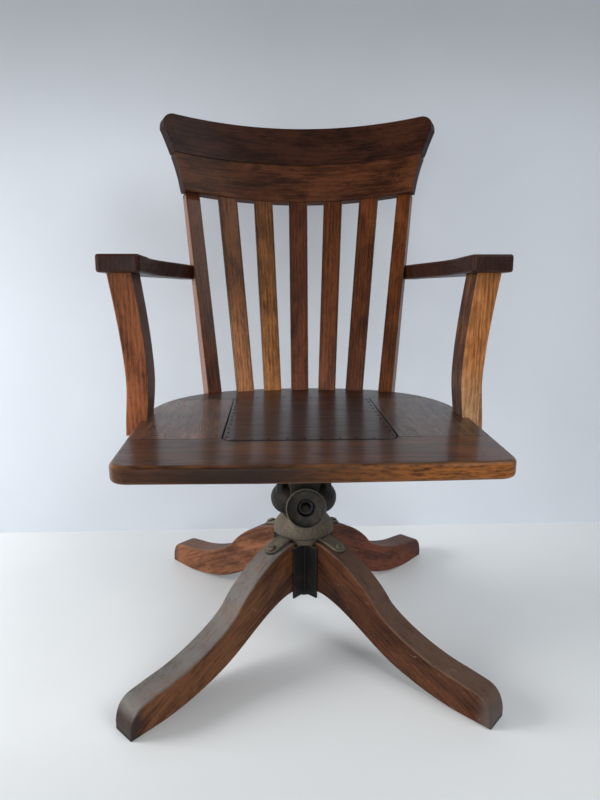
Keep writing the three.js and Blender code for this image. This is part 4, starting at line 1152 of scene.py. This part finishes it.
def build_bracket(material):
    half, plate = BRACKET.width / 2, BRACKET.plate
    cheek = eye(BRACKET.eye, BRACKET_TOP - PIVOT, BRACKET.cheek_width, BRACKET.cheek, BRACKET.cheek_edge)
    web = slab(fork_outline(), BRACKET.fork, BRACKET.edge)
    shapes = [
        block((-half, -plate / 2, BRACKET_TOP - BRACKET.top), (half, plate / 2, BRACKET_TOP)),
        moved(web, ROD_PLACE @ move(z=FORK_BACK + BRACKET.fork / 2)),
    ]
    for side in SIDES.values():
        x = side * (half - BRACKET.cheek / 2)
        shapes.append(moved(cheek, move(x, 0, BRACKET_TOP) @ turn("Z", 90) @ turn("X", -90)))
    for arm in BRACKET_ARMS:
        shapes += bracket_arm(*arm)
    casting("seat_bracket", shapes, material, voxel=1.5)


def build_bracket_screws(material):
    names = ["front_left", "rear_left", "front_right", "rear_right"]
    z = SEAT_BOTTOM - 2 * CLEARANCE - BRACKET.arm
    for i, (name, (side, _, end)) in enumerate(zip(names, BRACKET_ARMS)):
        place = move(side * BRACKET.spread, end, z) @ turn("X", 180) @ turn("Z", 15 + 50 * i)
        build_screw("bracket_screw_" + name, WOOD_SCREW, place, material)


# Seat


def seat_outline():
    f, w, rear, r = SEAT.front_width / 2, SEAT.width / 2, SEAT.rear, SEAT.corner
    front, middle_front = SEAT.crown - SEAT.front, -SEAT.front - SEAT.crown
    flank = -ARM_POST.ahead
    start = flank + ARM_POST.depth
    flat, side = w * SEAT.flat_share, w * SEAT.side_share
    turn_y = start + (rear - start) * SEAT.turn_share
    return path(
        (r - f, front), [32, (0, middle_front), (f - r, front)], [12, (f, front), (f, front + r)],
        (w, flank), (w, start), [40, (side, turn_y), (flat, rear), (0, rear)],
        [40, (-flat, rear), (-side, turn_y), (-w, start)], (-w, flank), (-f, front + r),
        [12, (-f, front), (r - f, front)],
    )[:-1]


def rounded_plan(x, low, high, r, taper=0.0):
    """A rounded rectangle about the middle, narrower at the front by a taper on each side."""
    front = x - taper
    return path(
        (r - front, low), (front - r, low), [10, (front, low), (front, low + r)],
        (x, high - r), [10, (x, high), (x - r, high)], (r - x, high), [10, (-x, high), (-x, high - r)],
        (-front, low + r), [10, (-front, low), (r - front, low)],
    )[:-1]


def soften(thing, width, level):
    """Rounds the sharp edges of a piece that lie at a height, and clears slivers away."""
    work = bmesh.new()
    work.from_mesh(thing.data)
    bmesh.ops.remove_doubles(work, verts=work.verts, dist=1e-6)
    flat = math.radians(0.5)
    bmesh.ops.dissolve_limit(work, angle_limit=flat, verts=work.verts, edges=work.edges)
    chosen = [
        e for e in work.edges
        if len(e.link_faces) == 2 and e.calc_face_angle(0) > SHARP
        and all(abs(v.co.z - level * MM) < 1e-5 for v in e.verts)
    ]
    bevel = dict(segments=3, profile=0.5, affect="EDGES", clamp_overlap=True)
    bmesh.ops.bevel(work, geom=chosen, offset=width * MM, **bevel)
    bmesh.ops.remove_doubles(work, verts=work.verts, dist=1e-5)
    bmesh.ops.triangulate(work, faces=work.faces)
    bmesh.ops.dissolve_degenerate(work, dist=1e-5, edges=work.edges)
    work.to_mesh(thing.data)
    work.free()


def edge_distance(points, outline):
    """How far each point lies from an outline's nearest corner or side."""
    least = np.full(len(points), np.inf)
    for p, q in zip(outline, np.roll(outline, -1, axis=0)):
        d = q - p
        t = np.clip(((points - p) @ d) / (d @ d), 0, 1)
        least = np.minimum(least, np.linalg.norm(points - (p + t[:, None] * d), axis=1))
    return least


def finish_board(thing, node, material, index):
    """Grain and wear of a seat board from where its vertices lie."""
    place = (np.array([v.co for v in thing.data.vertices]) - ORIGIN) / MM
    upright = np.minimum(np.abs([v.normal[2] for v in thing.data.vertices]), 1)
    across_seat = node in ("seat_front_board", "seat_rear_board")
    grain = place[:, [0, 1, 2] if across_seat else [1, 0, 2]]
    outer = edge_distance(place[:, :2], seat_outline()) < SEAT.edge * 0.9
    remember(thing.data, "grain", grain + [index * SHIFT.seat, 0, 0])
    remember(thing.data, "plan", place)
    remember(thing.data, "wear", np.where(outer, 2 * upright * np.sqrt(1 - upright**2), 0))
    dress(thing, node, material)


def build_seat(materials):
    """The boards, cut out of one blank with a rebate for the panel and an opening under it."""
    gap, far = CLEARANCE / 2, SEAT.width
    half, inner = PANEL.width / 2 + CLEARANCE, PANEL.width / 2 - PANEL.ledge
    joint, rear_joint = -SEAT.joint, PANEL.behind - PANEL.ledge
    regions = {
        "seat_front_board": ((-far, -far, 0), (far, joint - gap, far)),
        "seat_left_board": ((-far, joint + gap, 0), (0, rear_joint - gap, far)),
        "seat_right_board": ((0, joint + gap, 0), (far, rear_joint - gap, far)),
        "seat_rear_board": ((-far, rear_joint + gap, 0), (far, far, far)),
    }
    blank = slab(seat_outline(), SEAT_TOP - SEAT_BOTTOM, SEAT.edge)
    blank = moved(blank, move(z=(SEAT_TOP + SEAT_BOTTOM) / 2))
    plan = rounded_plan(half, -PANEL.ahead - CLEARANCE, PANEL.behind + CLEARANCE, PANEL.corner)
    tall = 20
    floor = SEAT_TOP - PANEL.thickness - CLEARANCE
    rebate = moved(slab(plan, tall, 0.01, 1), move(z=floor + tall / 2))
    opening = block((-inner, joint, 0), (inner, rear_joint, far * 2))
    for index, (name, region) in enumerate(regions.items()):
        thing = solid(name + "_wood", blank)
        cut_by(thing, rebate, "DIFFERENCE")
        cut_by(thing, opening, "DIFFERENCE")
        cut_by(thing, block(*region), "INTERSECT")
        soften(thing, SEAT.joint_edge, SEAT_TOP)
        finish_board(thing, name, materials[name], index)


def build_panel(material, nail_material):
    x, low, high, gap = PANEL.width / 2, -PANEL.ahead, PANEL.behind, CLEARANCE
    outline = rounded_plan(x - PANEL.inset, low + gap, high - gap, PANEL.corner, PANEL.taper)
    lift = move(z=SEAT_TOP - PANEL.thickness / 2 + PANEL.proud)
    shape = moved(slab(outline, PANEL.thickness, PANEL.edge), lift)
    grain = shape[0] + [SHIFT.panel, 0, 0]
    piece("seat_panel", "wood", shape, material, grain, shape[0])

    r, below, corner = NAIL.radius, -NAIL.length, PANEL.corner / 2
    nail = turned([(0, below), (r, below), (r, NAIL.brim), *NAIL.dome, (0, NAIL.height)], 16)
    x, low, high = x - NAIL.inset, low + NAIL.inset, high - NAIL.inset
    down = np.arange(low + corner, high - corner + 1, NAIL.pitch)
    along = np.arange(corner - x, x - corner + 1, NAIL.pitch)
    places = [(side * x, y) for side in SIDES.values() for y in down]
    places += [(at, y) for y in (low, high) for at in along]
    nails = []
    for i, (at, y) in enumerate(places):
        sway_x, sway_y = [NAIL.sway * math.sin(2.3 * count) for count in (i, i + 5)]
        nails.append(moved(nail, move(at + sway_x, y + sway_y, SEAT_TOP)))
    thing = solid("panel_nails", joined(*nails))
    dress(thing, "seat_panel", nail_material, stands_for=False)


# Arms and their posts. SWEEP is how far out a post's inner face stands at shares of its height

SWEEP = [(0, 0.12), (0.1, 0), (0.31, -0.31), (0.52, -0.19), (0.74, 0.16), (1, 0.72)]


def build_arm_posts(materials):
    post = ARM_POST
    inner, outer = [], []
    for up, out in SWEEP:
        x, z = post.inset + post.sweep * out, SEAT_BOTTOM + post.height * up
        inner.append((x, z))
        outer.append((x + post.foot + (post.top - post.foot) * up, z))
    outline = np.vstack([spline(inner), spline(outer)[::-1]])
    middle_y = post.depth / 2 - post.ahead
    shape = moved(slab(outline, post.depth, post.edge), move(y=middle_y) @ UPRIGHT)
    for name, side in SIDES.items():
        grain = shape[0][:, [2, 0, 1]] + [side * SHIFT.post, 0, 0]
        placed = moved(shape, mirrored(side))
        piece("arm_post_" + name, "wood", placed, materials[name], grain, shape[0])


def back_rear_at(height):
    """Rear face of a back post at a height above the seat."""
    lean = math.radians(BACK.lean)
    share = height / math.cos(lean) / CREST.rise
    depth, outside = [low + (high - low) * share for low, high in (BACK.depth, BACK.outside)]
    return BACK.set + height * math.tan(lean) + depth - bend(outside)


def arm_outline(length):
    """An arm's plan: broad as far as start, then swept in to its tail."""
    inner, outer, rear, r = ARM.inner, ARM.outer, ARM.rear_inner, ARM.corner
    rear_outer = rear + ARM.rear_width
    start, out, inside, tail = [length * share for share in (0.22, 0.5, 0.72, 0.76)]
    return path(
        (inner + r, 0), (outer - r, 0), [10, (outer, 0), (outer, r)], (outer, start),
        [40, (outer, out), (rear_outer + r, tail), (rear_outer, length)], (rear, length),
        [40, (rear + r, inside), (inner + r, out), (inner, start)], (inner, r),
        [10, (inner, 0), (inner + r, 0)],
    )[:-1]


def build_arms(materials):
    front = -ARM_POST.ahead - ARM.overhang
    length = back_rear_at(ARM.height - ARM.thickness) + ARM.past_post - front
    arm = slab(arm_outline(length), ARM.thickness, ARM.edge, 5)
    shape = moved(arm, move(z=-ARM.thickness / 2))
    place = move(y=front, z=SEAT_TOP + ARM.height) @ turn("X", -ARM.fall)
    for name, side in SIDES.items():
        grain = shape[0][:, [1, 0, 2]] + [side * SHIFT.arm, 0, 0]
        placed = moved(shape, mirrored(side) @ place)
        piece("arm_" + name, "wood", placed, materials[name], grain)


# Back


def bend(x):
    """How far the bend brings a place forward of the middle."""
    return BACK.radius - np.sqrt(BACK.radius**2 - np.asarray(x, float) ** 2)


def build_stick(node, x, width, depth, angle, below, above, material, shift):
    """A straight stick, carried on past both ends. Its sizes are pairs, at the seat and the crest."""
    low, high = np.column_stack([x, depth / 2 - bend(x), (0, CREST.rise), width, depth, angle]).tolist()
    rings, wear, grain = [], [], []
    for t in np.linspace(-below / CREST.rise, 1 + above / CREST.rise, 28):
        at_x, y, z, wide, deep, turned_by = [a + (b - a) * t for a, b in zip(low, high)]
        c, s = math.cos(turned_by), math.sin(turned_by)
        section = eased(wide, deep, BACK.edge)
        rings.append([(at_x + c * u - s * v, y + s * u + c * v, z) for u, v, _ in section])
        wear.append(section[:, 2])
        grain += [(z + shift, u, v) for u, v, _ in section]
    shape = skin(rings, wear)
    placed = moved(shape, BACK_PLACE)
    piece(node, "wood", placed, material, np.array(grain), shape[0])


def build_back(slat_materials, post_materials):
    tenon, both = BACK.tenon, np.ones(2)
    for i, material in enumerate(slat_materials):
        x = (i - (BACK.slats - 1) / 2) * np.array(BACK.pitch)
        sizes = x, BACK.slat_width, BACK.slat * both, -np.arcsin(x / BACK.radius)
        build_stick(f"slat_{i + 1}", *sizes, tenon, tenon, material, i * SHIFT.slat)
    below = SEAT_TOP - SEAT_BOTTOM - tenon / 2
    for name, side in SIDES.items():
        x = side * (np.array(BACK.outside) - BACK.post / 2)
        angle = -side * math.radians(BACK.turn) * both
        sizes = x, BACK.post * both, np.array(BACK.depth), angle
        material = post_materials[name]
        build_stick("back_post_" + name, *sizes, below, BACK.post_above, material, side * SHIFT.post)


def crest_edges(x):
    """Lower and upper edge of the crest at a place across the chair, above the seat."""
    at = abs(x)
    low_corner, high = CREST.rise + CREST.bow, CREST.rise + CREST.height
    ear = low_corner + CREST.ear_rise
    low = CREST.rise + CREST.bow * (min(at, CREST.half_low) / CREST.half_low) ** 2
    if at > CREST.half_low:
        out = min(1.0, (at - CREST.half_low) / (CREST.half_high - CREST.half_low))
        low = low_corner + (ear - CREST.ear / 2 - low_corner) * out**CREST.flare
    if at > CREST.half_top:
        out = min(1.0, (at - CREST.half_top) / (CREST.half_high - CREST.half_top))
        high -= (high - ear - CREST.ear / 2) * (1 - math.sqrt(1 - out * out))
    return low, high


def crest_ring(name, x):
    """Ring, wear and grain of a crest board at a place across the chair, or None past its end."""
    low, high = crest_edges(x)
    share = x / (CREST.half_high + CREST.thickness)
    joint = CREST.rise + CREST.height / 2 + CREST.bow * share * share / 2
    if name == "lower":
        high = min(high, joint - CREST.joint_gap / 2)
    else:
        low = max(low, joint + CREST.joint_gap / 2)
    height = high - low
    if height < 0.8:
        return None
    free, tight = min(CREST.edge, height / 3), min(CREST.joint_edge, height / 3)
    edges = (tight, free) if name == "lower" else (free, tight)
    section = eased(CREST.thickness, height, *edges, rounds=4)
    angle, z = math.asin(x / BACK.radius), (low + high) / 2
    reach = BACK.radius + CREST.thickness / 2
    ring, grain = [], []
    for u, v, _ in section:
        forward = (reach + u) * math.cos(angle) - BACK.radius - BACK.inset
        ring.append(((reach + u) * math.sin(angle), forward, z + v))
        grain.append((reach * angle, z + v, u))
    return ring, section[:, 2], grain


def build_crest(materials):
    """Two boards, one over the other, with rings closer together towards the ears."""
    ease = np.sin(np.linspace(0, math.pi / 2, 40))[1:]
    half = CREST.half_high * np.concatenate([np.linspace(0, 0.8, 30)[1:], 0.8 + 0.2 * ease])
    stations = np.concatenate([-half[::-1], [0], half])
    for i, (name, material) in enumerate(materials.items()):
        made = [ring for ring in (crest_ring(name, x) for x in stations) if ring]
        rings, wear, grain = zip(*made)
        shape = moved(skin(rings, wear), BACK_PLACE)
        grain = np.array(grain).reshape(-1, 3) + [i * SHIFT.crest, 0, 0]
        piece(f"crest_{name}_board", "wood", shape, material, grain)


# Everything, with each material's colours from the photograph

flange_dust = by_height(FLANGE_BOTTOM - 1, FLANGE_BOTTOM + 4, 0.0, 0.75, (100, 92, 78))
# Painted shade along the bell nut's lower edge, just above its rim.
bell_rim_painted_shade = by_height(BELL_RIM + 0.8, BELL_RIM + 3.4, 0.9, 0.0, (10, 9, 8))
dusty = iron(
    "dusty_iron", (13, 13, 14), (27, 26, 25), (114, 106, 90), 0.95, 1, relief=0.9, extra=flange_dust,
)
bell_iron = iron(
    "bell_iron", (64, 58, 49), (100, 92, 78), (118, 108, 91), 0.8, 2, rust=0.3, relief=0.9,
    extra=bell_rim_painted_shade,
)
black = iron("black_iron", (14, 13, 12), (34, 30, 27), (62, 56, 48), 0.35, 3, rough=0.45, rust=0.3)
knob_iron = iron(
    "knob_iron", (9, 9, 8), (27, 25, 22), (44, 40, 34), 0.3, 4, rough=0.4, rust=0.15, relief=0.4,
    extra=recess_shade_rim_highlight,
)
steel = bright("steel", (112, 106, 98), 1, 0.34)

build_legs()
build_hub(dusty)
build_hub_screws(dusty)
build_washer(steel)
build_bell(bell_iron)
build_spindle(steel)
build_yoke(black)
build_pivot(steel)
build_rod(bright("rod_steel", (58, 54, 49), 4))
build_spring(bright("spring_steel", (74, 70, 66), 2))
build_plate(steel)
build_knob(knob_iron)
build_bracket(black)
build_bracket_screws(steel)

seat_look = dict(
    gloss=0.36, coat=0.45, coat_rough=0.18, shine=0.2, cloud=0.6, streak=0.35, pore=0.7, stain=0.45,
    worn=(124, 84, 50), worn_share=0.7, relief=0.3, extra=groove_dirt_and_shade,
)
front_look = {**seat_look, "extra": front_edge}
# The side boards' lighter tone is partly their own and partly a painted reflection of the bright wall.
build_seat({
    "seat_front_board": wood("front_board", (46, 24, 12), (94, 54, 28), 1.1, **front_look),
    "seat_left_board": wood("left_board", (66, 46, 35), (130, 90, 67), 2.3, figure=0.9, **seat_look),
    "seat_right_board": wood("right_board", (58, 41, 30), (116, 84, 63), 3.9, figure=1.0, **seat_look),
    "seat_rear_board": wood("rear_board", (32, 20, 14), (66, 43, 31), 4.7, **seat_look),
})
panel_look = {**seat_look, "ring": 12, "stain": 0.3, "pore": 0.3}
panel_wood = wood("panel", (27, 15, 11), (48, 28, 20), 5.3, **panel_look)
build_panel(panel_wood, bright("nail_steel", (24, 20, 18), 3, 0.5))

post_look = dict(gloss=0.38, streak=0.3, pore=0.25)
# The right post's colours are lifted, a painted light where light from the left and reflections brighten
# it; both posts' sides are darkened by painted shade, and their lower parts lifted by a painted sheen.
build_arm_posts({
    "left": wood(
        "arm_post_left", (74, 37, 19), (144, 84, 47), 6.1, stain=0.4, facing_tone_and_light=("X", (50, 34, 29), 0.9),
        extra=painted_low_sheen((1.3, 1.32, 1.5), SEAT_TOP + 20, SEAT_TOP + 190), **post_look,
    ),
    "right": wood(
        "arm_post_right", (118, 70, 36), (204, 136, 80), 7.2, facing_tone_and_light=("X", (48, 28, 22), 0.95),
        extra=painted_low_sheen((1.0, 1.35, 2.1), SEAT_TOP + 10, SEAT_TOP + 110), **post_look,
    ),
})
arm_look = dict(stain=0.5, gloss=0.36, coat=0.15, worn=(96, 64, 48), worn_share=0.4)
build_arms({
    "left": wood("arm_left", (31, 14, 10), (66, 34, 25), 8.4, **arm_look),
    "right": wood("arm_right", (25, 12, 9), (56, 31, 23), 9.3, **arm_look),
})

# Dark and light tone, seed, and the gain of the painted sheen at the foot of each slat
SLAT_LOOKS = [
    ((62, 36, 22), (118, 74, 44), 10.2, (3.3, 3.7, 4.2)),
    ((70, 40, 21), (137, 89, 48), 11.4, (2.4, 2.5, 2.6)),
    ((47, 25, 13), (97, 53, 32), 12.9, (1.8, 1.7, 1.6)),
    ((57, 29, 14), (112, 62, 32), 13.3, (1.6, 1.6, 1.6)),
    ((54, 26, 13), (107, 59, 29), 14.8, (1.1, 1.1, 1.1)),
]
stick_look = dict(ring=6, rings=0.25, streak=0.35, cloud=0.6, pore=0.35, stain=0.35)
slat_look = dict(rim=18, gloss=0.36, coat=0.08, **stick_look)
back_post_look = dict(rim=15, coat=0.15, **stick_look)
build_back(
    [
        wood(f"slat_{i + 1}", dark, light, seed, extra=painted_low_sheen(gain), **slat_look)
        for i, (dark, light, seed, gain) in enumerate(SLAT_LOOKS)
    ],
    {
        # The back posts' sides take a painted light, as the light from the left falls on them.
        "left": wood(
            "back_post_left", (46, 22, 11), (100, 55, 28), 15.5, gloss=0.3,
            facing_tone_and_light=("X", (128, 92, 76), 0.8), **back_post_look,
        ),
        "right": wood(
            "back_post_right", (58, 28, 10), (114, 62, 28), 16.7, gloss=0.34,
            facing_tone_and_light=("X", (124, 90, 74), 0.8), **back_post_look,
        ),
    },
)
# The faces that look sideways, at the crest's ears, take a darker tone.
crest_look = dict(
    ring=9, rings=0.15, cloud=0.75, pore=0.3, gloss=0.42, facing_tone_and_light=("X", (24, 13, 9), 0.85),
    worn=(84, 54, 38), worn_share=0.35,
)
build_crest({
    "lower": wood("crest_lower", (46, 23, 12), (96, 55, 32), 17.1, stain=0.55, **crest_look),
    "upper": wood("crest_upper", (33, 15, 8), (68, 38, 25), 18.6, stain=0.6, **crest_look),
})

# Floor, wall and lamps


def sheet(name, start, side, rise, material):
    """A flat sheet to both sides of the chair, from one place in (y, z) to another."""
    mesh = bpy.data.meshes.new(name)
    corners = [(-side, *start), (side, *start), (side, *rise), (-side, *rise)]
    mesh.from_pydata(corners, [], [(0, 1, 2, 3)])
    mesh.materials.append(material)
    add(name, mesh)


ROOM, WALL_Y, WALL_HEIGHT = 8.0, 0.44, 5.0
sheet("floor", (-ROOM, 0), ROOM, (ROOM, 0), matt("floor", (228, 231, 232), 0.5, 1))
sheet("wall", (WALL_Y, 0), ROOM, (WALL_Y, WALL_HEIGHT), matt("wall", (216, 222, 230), 0.8, 2))


def lamp(name, place, target, size, power, colour=(1, 1, 1), spread=100, mirrored_in=True):
    data = bpy.data.lights.new(name, "AREA")
    data.shape = "DISK"
    data.size = size
    data.energy = power
    data.color = colour
    data.spread = math.radians(spread)
    thing = add(name, data)
    thing.visible_glossy = mirrored_in
    stand(thing, place, Vector(target) - Vector(place))


lamp("key", (-2.4, 0.0, 0.9), (0, 0.2, 0.1), 1.4, 25, (1.0, 0.995, 0.99), mirrored_in=False)
lamp("low", (-1.9, -1.1, 0.6), (0, 0.2, 0.2), 1.2, 5, spread=110)
lamp("fill", (1.5, -1.2, 1.7), (0.1, 0, 0), 1.6, 10, (0.98, 0.99, 1.0))
lamp("front", (-0.3, -2.7, 0.6), (0, 0, 0.2), 1.4, 6)

# The sky is bright to the camera and dim as a light
world = bpy.data.worlds.new("world")
bpy.context.scene.world = world
world.use_nodes = True
nodes, links = world.node_tree.nodes, world.node_tree.links
sky = nodes["Background"]
sky.inputs["Color"].default_value = (0.95, 0.975, 1.0, 1)
seen = nodes.new("ShaderNodeMapRange")
seen.inputs["To Min"].default_value = 0.1
seen.inputs["To Max"].default_value = 0.72
links.new(nodes.new("ShaderNodeLightPath").outputs["Is Camera Ray"], seen.inputs["Value"])
links.new(seen.outputs["Result"], sky.inputs["Strength"])
bpy.context.scene.view_settings.view_transform = "Standard"


def rows(corners):
    return [[float(value) for value in corner] for corner in corners]
